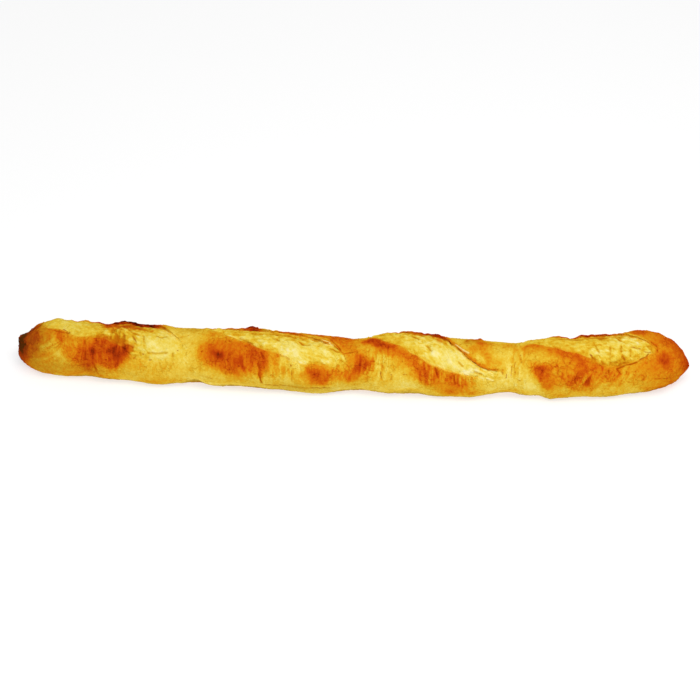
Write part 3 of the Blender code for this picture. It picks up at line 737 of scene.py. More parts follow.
def painted(level, patches, along, arc):
    """Level with each soft patch laid over it in turn."""
    for x, degrees, patch, half_length, half_round in patches:
        off_along = (along - x * MM) / (half_length * MM)
        off_turn = (arc / UNROLL_RADIUS - math.radians(degrees) + math.pi) % (2 * math.pi) - math.pi
        off_round = ring_share * UNROLL_RADIUS * off_turn / (half_round * MM)
        level = level + (patch - level) * np.exp(-((off_along**2 + off_round**2) ** PATCH_SOFTNESS))
    return level


WARP_SIZE, WARP = 15 * MM, 4 * MM  # the patches' outlines wander by this much
warped_along = crust_along + WARP * noise_at(bare_points, WARP_SIZE, Vector((1.5, 8.0, 2.0)))
warped_arc = crust_arc + WARP * noise_at(bare_points, WARP_SIZE, Vector((6.5, 3.0, 9.0)))
print("the patches wander by", round(float(np.abs(warped_along - crust_along).max()) / MM, 1), "mm at most")

# %% The browning of the skin
# The back is browner from 38 degrees on, and the low front paler from 72 degrees on, each over the degrees
# that follow. The low front's paleness is painted light on the side that faces down.
PLAIN_BROWNING = 0.22
BACK_BROWNING, BACK_FROM, BACK_OVER = 0.22, 38, 22
FLANK_PAINTED_LIGHT, FLANK_FROM, FLANK_OVER = 0.08, 72, 20
round_front = np.degrees(crust_turn)
browning = PLAIN_BROWNING - FLANK_PAINTED_LIGHT * ease((round_front - FLANK_FROM) / FLANK_OVER)
browning = browning + BACK_BROWNING * ease((-round_front - BACK_FROM) / BACK_OVER)
end_browning = read_off(END_BROWNING, warped_along)
browning = painted(np.maximum(browning, end_browning), BROWN_PATCHES, warped_along, warped_arc)
print("the skin is browned", spread(browning))

# %% [markdown]
# ## The rim and the base
#
# The base lay on the tray all through the baking, so it is one even tone from end to end, a little mottled.
# Just above it, where the crust turns under, it is browner, partly baked so and partly painted shade, and
# duller, which is painted shade. Both could be patches as well, but they follow the loaf's turn all along
# it, so they come from the turn itself.

# %% Browning near the tray
# The rim's browning is partly real browning and partly painted shade where the crust turns under.
RIM_BROWNING_AND_SHADE, RIM_TURN, RIM_TURN_REACH = 0.45, 142, 12  # where the crust turns under to the tray
BASE_TURN, BASE_TURN_REACH = 144, 12
BASE_BROWNING, BASE_MOTTLE, BASE_MOTTLE_SIZE = 0.40, 0.16, 30 * MM
down = np.abs(round_front)
at_rim = bell(down - RIM_TURN, RIM_TURN_REACH) * ring_share**2
browning = browning + np.maximum(RIM_BROWNING_AND_SHADE * at_rim - browning, 0) * at_rim
underside = ease((down - BASE_TURN) / BASE_TURN_REACH)
base_mottle = BASE_MOTTLE * noise_at(bare_points, BASE_MOTTLE_SIZE, Vector((3.0, 1.0, 5.0)))
base_browning = np.maximum(BASE_BROWNING + base_mottle, end_browning)
browning = browning + (base_browning - browning) * underside * ring_share**2
print("the base is browned by", round(float(browning[underside == 1].mean()), 2), "on average")

# %% Tones of the crumb, and duller skin, partly painted shade
# The dulling just above the rim is painted shade where the crust turns under.
RIM_SHADE, RIM_SHADE_TURN = 0.55, 134
crumb_tone = painted(np.full_like(browning, CRUMB_TONE), CRUMB_PATCHES, warped_along, warped_arc)
crumb_torn = painted(np.full_like(browning, CRUMB_TORN), TORN_PATCHES, warped_along, warped_arc)
dull = painted(np.zeros_like(browning), DULL_AND_SHADE_PATCHES, warped_along, warped_arc)
rim_shade = RIM_SHADE * bell(down - RIM_SHADE_TURN, RIM_TURN_REACH) * ring_share**2
dull = np.maximum(dull, rim_shade) * (1 - underside)
print("the crumb's tone goes", spread(crumb_tone))

# %% [markdown]
# ## Burnt ears and open crumb
#
# An ear stands clear of the loaf and is thin, so it burns first, in spots. Its colour runs a little way
# down the wall and over the crumb below. Each point of the crust is therefore told how far it is from a
# far edge, and how deep it lies in a slash: 0 or more is open crumb, and less is skin.

# %% Distances in the slashes
DEEPENING = 0.5  # how fast a slash opens from its two ends
opening = np.full_like(crust_along, -1.0)
across_slash = np.zeros_like(crust_along)
for slash in SLASHES:
    first, last = slash_span(slash)
    _, _, from_far, from_near = edge_distances(slash, crust_along, crust_arc)
    to_end = np.minimum(crust_along - first, last - crust_along)
    depth = np.minimum(np.minimum(from_far, from_near), DEEPENING * to_end)
    across_slash = np.where(depth > opening, from_far, across_slash)
    opening = np.maximum(opening, depth)
opening = opening / MM
across_slash = across_slash / MM
print("open crumb:", percent(opening > 0))

# %% Burnt ears
BURNT_BEHIND, BURNT_INSIDE = 3.2 * MM, 2.4 * MM  # how far the burning reaches from the far edge
BURNT_WALL, TOASTED_SHARE = 0.3, 0.8  # of the ear's burning
SPOTS = [(1.0, 7 * MM, 3.3), (0.6, 2.6 * MM, 5.1)]
DRIPS = [(1.2, 4 * MM, 8.3), (0.8, 2 * MM, 2.1)]
UNEVENNESS = 0.5
LEAST_SPOT, MOST_SPOT = 0.3, 1.3
BURNT_AT_ENDS = 0.3
spotty = np.clip(1 + UNEVENNESS * torn(crust_along, SPOTS), LEAST_SPOT, MOST_SPOT)
dripping = 1 + UNEVENNESS * torn(crust_along, DRIPS)
for slash in SLASHES:
    first, last = slash_span(slash)
    past_far, _, from_far, _ = edge_distances(slash, crust_along, crust_arc)
    to_end = np.minimum(crust_along - first, last - crust_along)
    down_the_wall = 1 - (1 - BURNT_WALL) * ease(past_far / LIP)
    toasted = read_off(slash["toasted"], crust_along) * MM * dripping
    on_crumb = TOASTED_SHARE * bell(from_far, toasted) ** 2
    inside = np.maximum(down_the_wall * bell(from_far, BURNT_INSIDE), on_crumb)
    near_far_edge = np.where(from_far < 0, bell(from_far, BURNT_BEHIND), inside)
    weight = near_far_edge * ease(to_end / SLASH_END_FADE + BURNT_AT_ENDS) * spotty
    burnt = read_off(slash["burnt"], crust_along)
    browning = browning + np.maximum(burnt - browning, 0) * np.clip(weight, 0, 1)
print("with its ears burnt it is browned", spread(browning))

# %% [markdown]
# ## Cracks, creases and peeled skin
#
# Thin lines are drawn on the crust as well, each as a few points. What is stored on the corners is the
# distance to the nearest line, not a mask. A distance changes evenly between corners, so both the relief
# and the material can cut a line from it that is crisper than the facets are.

# %% Cracks, wrinkles and pits
# Cracks and dark creases in the crust, their darkness partly painted shade: points (mm along, degrees round).
CRACKS = [
    [(-86, 54), (-85, 64), (-85, 73), (-84, 86), (-83, 98)], [(-84, 30), (-82, 40)],
    [(-254, 51), (-254, 64)], [(-244, 75), (-244, 98)], [(-255, 29), (-254, 36)],
    [(-224, 6), (-222, 24)], [(-217, 9), (-216, 20)], [(-209, 10), (-207, 14), (-205, 22)],
    [(81, 50), (83, 58), (85, 69)], [(99, 66), (100, 72), (101, 82)], [(228, 21), (230, 31)],
    [(258, 29), (261, 38)], [(246, 56), (246, 64)], [(254, 54), (257, 64)], [(214, 66), (215, 80)],
    [(228, 66), (227, 86)], [(254, 54), (262, 47), (271, 44)], [(-322, 10), (-318, 34), (-312, 44)],
    [(-300, -30), (-308, -4), (-311, 10)], [(-190, -88), (-184, -70), (-186, -58)],
    [(130, -96), (136, -78), (132, -64)],
]

# Shallow wrinkles of the skin, and pits where a bubble burst.
WRINKLES = [
    [(-286, 7), (-270, 14)], [(-143, 87), (-136, 90), (-130, 94)], [(-54, 66), (-54, 92)],
    [(-28, -26), (-19, -14), (-10, 12), (-4, 29), (-2, 42)], [(31, 48), (31, 76)], [(40, 62), (40, 78)],
    [(94, -14), (104, 8), (113, 28), (122, 44), (129, 50), (146, 53), (146, 62)],
    [(157, 34), (157, 61)], [(154, 44), (154, 72)], [(149, 62), (149, 74)], [(162, 20), (163, 38)],
    [(228, 26), (235, 33)], [(238, 42), (240, 56)], [(267, 12), (274, 17), (282, 26), (288, 26)],
    [(286, 1), (290, 6)], [(291, 8), (293, 16), (292, 24)], [(-82, 104), (-50, 106), (-18, 105)],
    [(-277, 3), (-270, 10)], [(291, 82), (302, 87)], [(-6, 24), (2, 20), (8, 14)], [(14, 26), (16, 40)],
    [(-304, 2), (-300, 24)], [(271, 44), (280, 34), (284, 29)], [(-168, 7), (-156, -6)],
    [(-40, -92), (-36, -76), (-40, -62)], [(262, -98), (258, -80), (264, -64)], [(60, -98), (62, -84)],
    [(-120, -94), (-118, -78)],
]
PITS = [(-114, 36), (-110, 53), (-100, 34), (-141, 33), (-115, 5), (-100, 16), (-92, 36), (-130, 62),
        (-117, 76), (-112, 76), (-190, 57), (-206, 57), (262, 60), (-233, 46), (60, 28), (-74, 76),
        (-55, 54), (23, 38), (13, 30), (7, 19), (50, 39), (52, 64), (196, 44), (198, 54), (194, 63),
        (207, 64), (279, 80), (-164, 36), (-191, 58), (-198, 46), (-194, 45), (162, 78), (-60, -84),
        (20, -92), (106, -80), (180, -90), (-230, -96), (-160, -84)]

print(len(CRACKS), "cracks,", len(WRINKLES), "wrinkles and", len(PITS), "pits")

# %% Folds of the crumb, and peeled skin
# Folds of the torn crumb, painted golden in their grooves as shade. Same columns.
CREASES = [
    [(-230, -2), (-230, 16)], [(-226, -3), (-226, 16)], [(-222, -4), (-222, 16)],
    [(-198, 8), (-197, 22)], [(-186, 7), (-182, 8), (-176, 2)], [(-192, 44), (-182, 43), (-174, 40)],
    [(-168, 42), (-168, 48)], [(-213, -6), (-209, 2), (-203, 4)], [(-106, -4), (-95, 8), (-86, 22)],
    [(-48, 2), (-44, 10), (-38, 9)], [(-18, 14), (-10, 22)], [(-74, -6), (-68, 2)],
    [(-66, 34), (-56, 42)], [(-60, -14), (-52, -8)], [(73, 4), (78, 16)], [(104, 38), (108, 46)],
    [(118, 56), (126, 62)], [(58, -24), (66, -12)], [(247, 8), (247, 24)], [(234, 4), (236, 20)],
    [(258, 8), (257, 20)], [(266, 18), (266, 32)], [(243, -22), (252, -24), (258, -5)],
    [(196, -24), (210, -16), (222, -18)], [(230, 38), (236, 44)],
]

# Skin that peeled back and stands up, paler, with a painted highlight along it. Same columns.
PEELED_SKIN = [
    [(100, -3), (107, 11), (113, 19)], [(131, 71), (137, 77)], [(-27, -8), (-21, -3), (-16, 6)],
]
print(len(CREASES), "creases and", len(PEELED_SKIN), "strips of peeled skin")

# %% Distances to the lines
FAR_OFF = 9.0  # mm: no line is looked for further away


def distance_to(lines, along, arc):
    """The distance in mm from each point to the nearest of some lines, on the unrolled crust."""
    nearest = np.full_like(along, FAR_OFF)
    for line in lines:
        corners = [np.array([x, UNROLL_RADIUS / MM * math.radians(degrees)]) for x, degrees in line]
        for start, end in zip(corners, corners[1:]):
            run = end - start
            off = np.stack([along / MM - start[0], arc / MM - start[1]], axis=1)
            share = np.clip(off @ run / (run @ run), 0, 1)
            nearest = np.minimum(nearest, np.hypot(*(off - share[:, None] * run).T))
    return nearest


LINE_WARP_SIZE, LINE_WARP = 5 * MM, 1.2 * MM
line_along = crust_along + LINE_WARP * noise_at(bare_points, LINE_WARP_SIZE, Vector((2.5, 4.0, 7.0)))
line_arc = crust_arc + LINE_WARP * noise_at(bare_points, LINE_WARP_SIZE, Vector((9.5, 1.0, 3.0)))
WRINKLE_FADE = 0.4  # mm: how much further off a wrinkle counts than a crack
PIT_LENGTH = 0.5  # mm
pits = [[(x, degrees), (x + PIT_LENGTH, degrees)] for x, degrees in PITS]
crack = distance_to(CRACKS + pits, line_along, line_arc)
crack = np.minimum(crack, distance_to(WRINKLES, line_along, line_arc) + WRINKLE_FADE)
crease = distance_to(CREASES, line_along, line_arc)
peeled = distance_to(PEELED_SKIN, crust_along, crust_arc)
print("corners within 1 mm of a crack, crease or peeled edge:",
      [int((distances < 1).sum()) for distances in (crack, crease, peeled)])

# %% [markdown]
# ## Stretched skin
#
# When a slash opens, it pulls the skin beside it into fine wrinkles across the pull. They are far too many
# to draw one by one. So only the places are written down, and how the wrinkles lean there, and the relief
# raises them later from a stretched noise.

# %% Where the skin was stretched
STRETCHED_ELSEWHERE = 0.12
# (mm along, degrees round, how much from 0 to 1, mm half-length, mm half-width)
STRETCHED = [
    (-286, 44, 1.0, 20, 18), (-226, 16, 1.0, 14, 10), (-232, 60, 0.6, 24, 14), (-206, 28, 0.9, 12, 12),
    (-98, 56, 0.9, 12, 14), (-62, 62, 1.0, 14, 14), (-10, 66, 0.7, 16, 16), (26, 46, 1.0, 16, 22),
    (76, 60, 0.8, 14, 12), (108, 72, 1.0, 18, 8), (160, 42, 0.9, 12, 24), (222, 74, 0.9, 18, 12),
    (256, 72, 0.8, 16, 10), (272, 24, 0.6, 14, 10), (-230, -70, 0.5, 40, 20), (-60, -70, 0.5, 40, 20),
    (90, -70, 0.5, 40, 20), (240, -70, 0.5, 40, 20),
]
# How far the wrinkles lean along the loaf for each mm of height. Same columns.
SLANTED = [(-284, 40, 0.9, 26, 34), (-120, 60, -0.3, 30, 30), (20, 40, 0.2, 30, 30), (250, 60, 0.4, 40, 30)]
stretched = painted(np.full_like(crust_along, STRETCHED_ELSEWHERE), STRETCHED, warped_along, warped_arc)
slant = painted(np.zeros_like(crust_along), SLANTED, crust_along, crust_arc)
print("well stretched:", percent(stretched > 0.5))


# %% The marks on the crust
def mark_corners(mesh, marks):
    """Stores one number for each corner of a mesh, under each name."""
    for name, values in marks.items():
        attribute = mesh.attributes.new(name, "FLOAT", "POINT")
        attribute.data.foreach_set("value", np.asarray(values, dtype=np.float32))


mark_corners(crust.data, {
    "browning": browning, "crumb_tone": crumb_tone, "opening": opening, "crack": crack, "crease": crease,
    "peeled": peeled, "stretched": stretched, "underside": underside, "across_slash": across_slash,
    "crumb_torn": crumb_torn, "dull": dull, "slant": slant,
})
print("marks on the crust:", [mark.name for mark in crust.data.attributes if mark.name[0] != "."])

# %% [markdown]
# ## Nodes written as sums
#
# Both the relief and the material are node trees. Drawn by hand, their arithmetic becomes a wall of Math
# nodes. One small class stands for a node's output and takes Python's own operators, so that a + b adds
# the Math node. Every other node comes from one method, which takes its type, its settings and its inputs.


# %% Wires
def socket_of(sockets, key):
    """One of a node's sockets, by its place or by its name among those in use."""
    if isinstance(key, int):
        return sockets[key]
    return next(socket for socket in sockets if socket.name == key and not socket.is_unavailable)


class Wire:
    """A node's output. Python's operators on it add Math nodes."""

    def __init__(self, bench, socket):
        self.bench, self.socket = bench, socket

    def math(self, operation, *values):
        """A Math node on these values."""
        return self.bench.node("ShaderNodeMath", {"operation": operation}, dict(enumerate(values)))

    def __add__(self, other):
        return self.math("ADD", self, other)

    def __sub__(self, other):
        return self.math("SUBTRACT", self, other)

    def __rsub__(self, other):
        return self.math("SUBTRACT", other, self)

    def __mul__(self, other):
        return self.math("MULTIPLY", self, other)

    def __truediv__(self, other):
        return self.math("DIVIDE", self, other)

    def __rtruediv__(self, other):
        return self.math("DIVIDE", other, self)

    def __abs__(self):
        return self.math("ABSOLUTE", self)

    __radd__, __rmul__ = __add__, __mul__

    def output(self, name):
        """Another output of the same node."""
        return Wire(self.bench, socket_of(self.socket.node.outputs, name))


print("a wire takes + - * / and abs(), and can fetch another output of its node")


# %% Benches
def fill_ramp(ramp, stops):
    """Sets a colour ramp's stops: (place, linear colour)."""
    while len(ramp.elements) < len(stops):
        ramp.elements.new(1.0)
    for element, (place, colour) in zip(ramp.elements, stops):
        element.position = place
        element.color = colour


class Bench:
    """A shader or geometry node tree, and the one way in which nodes are put on it."""

    def __init__(self, tree):
        self.tree = tree
        self.asked = None

    def node(self, kind, settings=None, values=None, output=0):
        """A node with these settings and inputs. What comes back is one of its outputs."""
        made = self.tree.nodes.new(kind)
        for name, setting in (settings or {}).items():
            if name == "stops":
                fill_ramp(made.color_ramp, setting)
            else:
                setattr(made, name, setting)
        for key, value in (values or {}).items():
            socket = socket_of(made.inputs, key)
            if isinstance(value, Wire):
                self.tree.links.new(value.socket, socket)
            else:
                socket.default_value = value
        return Wire(self, socket_of(made.outputs, output)) if made.outputs else made

    def mark(self, name):
        """What mark_corners stored under a name."""
        if self.tree.type == "SHADER":
            return self.node("ShaderNodeAttribute", {"attribute_name": name}, output="Fac")
        kind = "GeometryNodeInputNamedAttribute"
        return self.node(kind, {"data_type": "FLOAT"}, {"Name": name}, "Attribute")

    def asks(self, name, kind="NodeSocketFloat"):
        """A named input of a geometry tree."""
        self.tree.interface.new_socket(name, in_out="INPUT", socket_type=kind)
        if self.asked is None:
            self.asked = self.tree.nodes.new("NodeGroupInput")
        return Wire(self, socket_of(self.asked.outputs, name))

    def keeps(self, shape, name, value):
        """Stores a number on each corner of a geometry tree's shape."""
        told = {"Geometry": shape, "Name": name, "Value": value}
        return self.node("GeometryNodeStoreNamedAttribute", {"data_type": "FLOAT", "domain": "POINT"}, told)

    def gives(self, shape, finish, smooth=True):
        """Ends a geometry tree: real faces, smooth or not, with their material."""
        self.tree.interface.new_socket("Geometry", in_out="OUTPUT", socket_type="NodeSocketGeometry")
        if smooth:
            shape = self.node("GeometryNodeSetShadeSmooth", {}, {"Geometry": shape})
        real = self.node("GeometryNodeRealizeInstances", {}, {"Geometry": shape})
        dressed = self.node("GeometryNodeSetMaterial", {}, {"Geometry": real, "Material": finish})
        self.node("NodeGroupOutput", {}, {0: dressed})


print("a bench can:", [name for name in vars(Bench) if name[0] != "_"])


# %% Soft steps and vectors
def between(value, start, end):
    """0 below start, 1 above end, and a soft step from one to the other."""
    limits = {"Value": value, "From Min": start, "From Max": end}
    return value.bench.node("ShaderNodeMapRange", {"interpolation_type": "SMOOTHSTEP"}, limits)


def vector_math(operation, *values):
    """A Vector Math node on these values. The first is a wire."""
    return values[0].bench.node("ShaderNodeVectorMath", {"operation": operation}, dict(enumerate(values)))


def scaled(vector, share):
    """A vector made this many times as long."""
    return vector.bench.node("ShaderNodeVectorMath", {"operation": "SCALE"}, {0: vector, "Scale": share})


print("ready:", between.__name__, vector_math.__name__, scaled.__name__)


# %% Noises and nets
def cloud(place, size, detail=2.0, seed=0.0, roughness=0.5):
    """Noise from 0 to 1 with blobs of about this size."""
    values = {"Vector": place, "W": seed, "Scale": 1 / size, "Detail": detail, "Roughness": roughness}
    return place.bench.node("ShaderNodeTexNoise", {"noise_dimensions": "4D"}, values)


def uneven(place, size, height, detail, seed):
    """Noise of about this size that goes this far up and down."""
    return (cloud(place, size, detail, seed) - 0.5) * 2 * height


def drawn_out(place, along, across):
    """Coordinates in which a texture's cell is this long along the loaf and this long round it."""
    cell = {"X": 1 / along, "Y": 1 / across, "Z": 1 / across}
    return vector_math("MULTIPLY", place, place.bench.node("ShaderNodeCombineXYZ", {}, cell))


def drift(place, size, detail=1.0, seed=None):
    """Noise as a small vector that points any way."""
    settings = {} if seed is None else {"noise_dimensions": "4D"}
    values = {"Vector": place, "Scale": 1 / size, "Detail": detail}
    if seed is not None:
        values["W"] = seed
    noise_colour = place.bench.node("ShaderNodeTexNoise", settings, values, "Color")
    return vector_math("SUBTRACT", noise_colour, (0.5, 0.5, 0.5))


def warped_by(place, size, reach):
    """Coordinates pushed about by noise, so that a texture's straight lines wander."""
    return vector_math("MULTIPLY_ADD", drift(place, size), (reach, reach, reach), place)


def net_of_lines(place, cell, width):
    """1 on the lines of a net with cells of this size, and 0 off them. The width is a share of a cell."""
    values = {"Vector": place, "Scale": 1 / cell}
    edge = place.bench.node("ShaderNodeTexVoronoi", {"feature": "DISTANCE_TO_EDGE"}, values)
    return 1 - between(edge, 0.0, width)


textures = (cloud, uneven, drawn_out, drift, warped_by, net_of_lines)
print("ready:", *[texture.__name__ for texture in textures])


# %% Making and running a geometry tree
def geometry_bench(name, seed_kind="NodeSocketFloat"):
    """A bench with a new geometry tree, and the shape, finish and seed that it asks for."""
    bench = Bench(bpy.data.node_groups.new(name, "GeometryNodeTree"))
    shape = bench.asks("Geometry", "NodeSocketGeometry")
    finish = bench.asks("Material", "NodeSocketMaterial")
    return bench, shape, finish, bench.asks("Seed", seed_kind)


def run_tree(source, bench, values, name):
    """Runs a geometry tree on a piece with these inputs, and makes the result a plain mesh."""
    modifier = source.modifiers.new(name, "NODES")
    modifier.node_group = bench.tree
    for item in bench.tree.interface.items_tree:
        if item.in_out == "INPUT" and item.name in values:
            modifier[item.identifier] = values[item.name]
    depsgraph = bpy.context.evaluated_depsgraph_get()
    mesh = bpy.data.meshes.new_from_object(
        source.evaluated_get(depsgraph), preserve_all_data_layers=True, depsgraph=depsgraph)
    source.modifiers.remove(modifier)
    mesh.name = name
    return mesh


baked_crust = bpy.data.materials.new("baked_crust")
print("made the material", baked_crust.name, "and no nodes for it yet")

# %% [markdown]
# ## Relief of the skin and the crumb
#
# Close up, the skin of a baguette is like orange peel, pulled into wrinkles beside the slashes. The torn
# crumb is pillowy, with creases between the pillows and fine threads across them. All of it follows the
# surface, so a Geometry Nodes tree raises it: it adds up the heights and moves each corner along its
# normal. Its sizes are named inputs. The base stays flat, because it lay on the tray.

# %% The skin's height
LINE_SOFTNESS = 0.12  # how far a soft line reaches to each side, in a noise of 0 to 1
CRACKLE_WANDER_SIZE, CRACKLE_WANDER = 7 * MM, 5 * MM
CRACKLE_PATCH, CRACKLE_NONE, CRACKLE_ALL = 24 * MM, 0.42, 0.58  # the net comes and goes over this size
FOLD_BOTTOM, FOLD_TOP = 0.4, 0.6  # of the noise that folds the skin


def skin_height(bench, place, parts, seed, grain):
    """Peel, wrinkles, grain, cracks and crackle, and the wrinkles' fold from -1 to 1."""
    peel = uneven(place, bench.asks("Peel Size"), bench.asks("Peel Height"), 3.0, seed)
    up = parts.output("Z")
    skewed = {"X": parts - bench.mark("slant") * up, "Y": parts.output("Y"), "Z": up}
    skewed = bench.node("ShaderNodeCombineXYZ", {}, skewed)
    fold_place = drawn_out(skewed, bench.asks("Wrinkle Spacing"), bench.asks("Wrinkle Length"))
    folds = cloud(fold_place, 1, 2.0, seed)
    fold = (between(folds, FOLD_BOTTOM, FOLD_TOP) * 2 - 1) * bench.mark("stretched")
    wrinkles = fold * bench.asks("Wrinkle Height")
    wandering_place = warped_by(place, CRACKLE_WANDER_SIZE, CRACKLE_WANDER)
    net_line = net_of_lines(wandering_place, bench.asks("Crackle Size"), LINE_SOFTNESS)
    crackle = net_line * between(cloud(place, CRACKLE_PATCH, 1.0, seed + 7), CRACKLE_NONE, CRACKLE_ALL)
    crack_line = 1 - between(bench.mark("crack"), 0.0, bench.asks("Crack Width"))
    cracks = crack_line * bench.asks("Crack Depth") * -1
    return peel + wrinkles + grain + cracks - crackle * bench.asks("Crackle Depth"), fold


print("the net of fine cracks comes and goes over", round(CRACKLE_PATCH / MM), "mm")


# %% The crumb's height
LOBE_LEVEL = 0.7  # what lies above it rises and the rest sinks, so that lobes and valleys even out


def puffed(plain_noise, height):
    """Round lobes with narrow valleys between them, out of plain noise."""
    return (between(abs(plain_noise - 0.5), 0.0, LINE_SOFTNESS) - LOBE_LEVEL) * height


def crumb_height(bench, place, parts, seed, grain):
    """Pillows, strands that run across the slash, threads and creases."""
    pillows = puffed(cloud(place, bench.asks("Pillow Size"), 1.5, seed + 3), bench.asks("Pillow Height"))
    strand_cell = {
        "X": parts / bench.asks("Strand Length"),
        "Y": bench.mark("across_slash") * MM / bench.asks("Strand Width"),
    }
    strands = cloud(bench.node("ShaderNodeCombineXYZ", {}, strand_cell), 1, 3.0, seed)
    strands = puffed(strands, bench.asks("Strand Height"))
    thread_place = drawn_out(place, bench.asks("Thread Spacing"), bench.asks("Thread Length"))
    threads = uneven(thread_place, 1, bench.asks("Thread Height"), 2.0, seed)
    crease_line = 1 - between(bench.mark("crease"), 0.0, bench.asks("Crease Width"))
    torn_up = (pillows + strands + threads) * bench.mark("crumb_torn")
    return torn_up + grain - crease_line * bench.asks("Crease Depth")


print("a lobe rises by", round(1 - LOBE_LEVEL, 1), "of its height, and a valley sinks by", LOBE_LEVEL)


# %% The relief tree
CRUMB_FROM, CRUMB_FULL = -0.2, 1.6  # mm inside a slash: where the skin's relief turns into the crumb's
FLAT_BELOW, RAISED_ABOVE = 0.1 * MM, 1.6 * MM  # the base has no relief


def relief_bench():
    """Moves each corner of the crust along its normal, and stores how far."""
    bench, loaf, finish, seed = geometry_bench("crust_relief")
    place = bench.node("GeometryNodeInputPosition")
    parts = bench.node("ShaderNodeSeparateXYZ", {}, {0: place})
    grain = uneven(place, bench.asks("Grain Size"), bench.asks("Grain Height"), 2.0, seed)
    skin, fold = skin_height(bench, place, parts, seed, grain)
    crumb = crumb_height(bench, place, parts, seed, grain)
    open_crumb = between(bench.mark("opening"), CRUMB_FROM, CRUMB_FULL)
    peeled_line = 1 - between(bench.mark("peeled"), 0.0, bench.asks("Peeled Width"))
    height = skin + (crumb - skin) * open_crumb + peeled_line * bench.asks("Peeled Height")
    height = height * between(parts.output("Z"), FLAT_BELOW, RAISED_ABOVE)
    push = scaled(bench.node("GeometryNodeInputNormal"), height)
    raised = bench.node("GeometryNodeSetPosition", {}, {"Geometry": loaf, "Offset": push})
    bench.gives(bench.keeps(bench.keeps(raised, "relief", height / MM), "fold", fold), finish)
    return bench


RELIEF = {
    "Material": baked_crust, "Seed": 4.0,
    "Peel Size": 8 * MM, "Peel Height": 0.7 * MM, "Crackle Size": 11 * MM, "Crackle Depth": 0.35 * MM,
    "Wrinkle Spacing": 2.6 * MM, "Wrinkle Length": 15 * MM, "Wrinkle Height": 0.32 * MM,
    "Grain Size": 3.0 * MM, "Grain Height": 0.4 * MM,
    "Crack Width": 1.5, "Crack Depth": 0.7 * MM,
    "Pillow Size": 9 * MM, "Pillow Height": 0.8 * MM,
    "Strand Length": 15 * MM, "Strand Width": 4.5 * MM, "Strand Height": 0.8 * MM,
    "Thread Spacing": 2.8 * MM, "Thread Length": 7 * MM, "Thread Height": 0.8 * MM,
    "Crease Width": 1.6, "Crease Depth": 0.7 * MM,
    "Peeled Width": 1.5, "Peeled Height": 0.5 * MM,
}
crust.data = run_tree(crust, relief_bench(), RELIEF, "crust")
relief = np.empty(len(crust.data.vertices), dtype=np.float32)
crust.data.attributes["relief"].data.foreach_get("value", relief)
print("the relief goes", spread(relief), "mm")

# %% [markdown]
# ## The baked finish
#
# One material dresses the whole loaf, because one oven baked it. It turns browning into colour with a
# ramp, as a crust goes from cream through gold and orange to burnt brown, and it does the same for the
# crumb with a paler ramp. Noise moves both a little at several sizes. Hollows are painted more golden and
# ridges paler, as painted shade and painted highlight, and cracks are dark, partly with painted shade. The
# finest roughness is bump, because facets that small would be too many.

# %% Colours
def oven_colour(red, green, blue):
    """A screen colour, 0 to 255, as Blender's linear one."""
    screen = [value / 255 for value in (red, green, blue)]
    linear = [part / 12.92 if part <= 0.04045 else ((part + 0.055) / 1.055) ** 2.4 for part in screen]
    return (*linear, 1.0)


CRUST_TONES = [
    (0.00, oven_colour(252, 231, 124)),
    (0.15, oven_colour(243, 210, 78)),
    (0.30, oven_colour(234, 185, 44)),
    (0.45, oven_colour(228, 149, 21)),
    (0.60, oven_colour(219, 108, 13)),
    (0.75, oven_colour(196, 70, 11)),
    (0.88, oven_colour(156, 46, 9)),
    (1.00, oven_colour(84, 32, 8)),
]
CRUMB_TONES = [
    (0.00, oven_colour(255, 240, 168)),
    (0.25, oven_colour(249, 227, 114)),
    (0.50, oven_colour(241, 207, 68)),
    (0.75, oven_colour(229, 175, 32)),
    (1.00, oven_colour(206, 126, 14)),
]
CRACK_AND_SHADE_COLOUR = oven_colour(176, 70, 0)
CREASE_SHADE_COLOUR = oven_colour(196, 120, 8)
PEELED_HIGHLIGHT_COLOUR = oven_colour(255, 236, 150)
DULL_AND_SHADE_COLOUR = oven_colour(120, 84, 20)
print("the crust's ramp has", len(CRUST_TONES), "stops, and the crumb's", len(CRUMB_TONES))


# %% Noises that skin and crumb share
def mixed(share, below, above):
    """One colour over another."""
    values = {"Factor": share, "A": below, "B": above}
    return share.bench.node("ShaderNodeMix", {"data_type": "RGBA"}, values, "Result")


MOTTLE_SIZE, FLECK_SIZE, GRIT_SIZE = 12 * MM, 2.6 * MM, 1.1 * MM
STREAK_SPACING, STREAK_LENGTH = 2.2 * MM, 11 * MM
NET_CELL, NET_WIDTH, NET_PATCH = 6 * MM, 0.1, 14 * MM
NET_WANDER_SIZE, NET_WANDER = 5 * MM, 4 * MM
FRECKLE_CELL = 7 * MM
ROUGH = 0.6  # how strongly the smaller sizes in a noise show


class Noises:
    """Unevenness of several sizes, each from about -0.5 to 0.5, and the fine net of cracks."""

    def __init__(self, place):
        self.mottle = cloud(place, MOTTLE_SIZE, 4.0, 1.0, ROUGH) - 0.5
        self.fleck = cloud(place, FLECK_SIZE, 3.0, 2.0, ROUGH) - 0.5
        self.grit = cloud(place, GRIT_SIZE, 2.0, 8.0, ROUGH) - 0.5
        self.streaks = cloud(drawn_out(place, STREAK_SPACING, STREAK_LENGTH), 1, 3.0, 3.0, ROUGH) - 0.5
        net_line = net_of_lines(warped_by(place, NET_WANDER_SIZE, NET_WANDER), NET_CELL, NET_WIDTH)
        self.crackle = net_line * between(cloud(place, NET_PATCH, 2.0, 9.0), 0.46, 0.6)


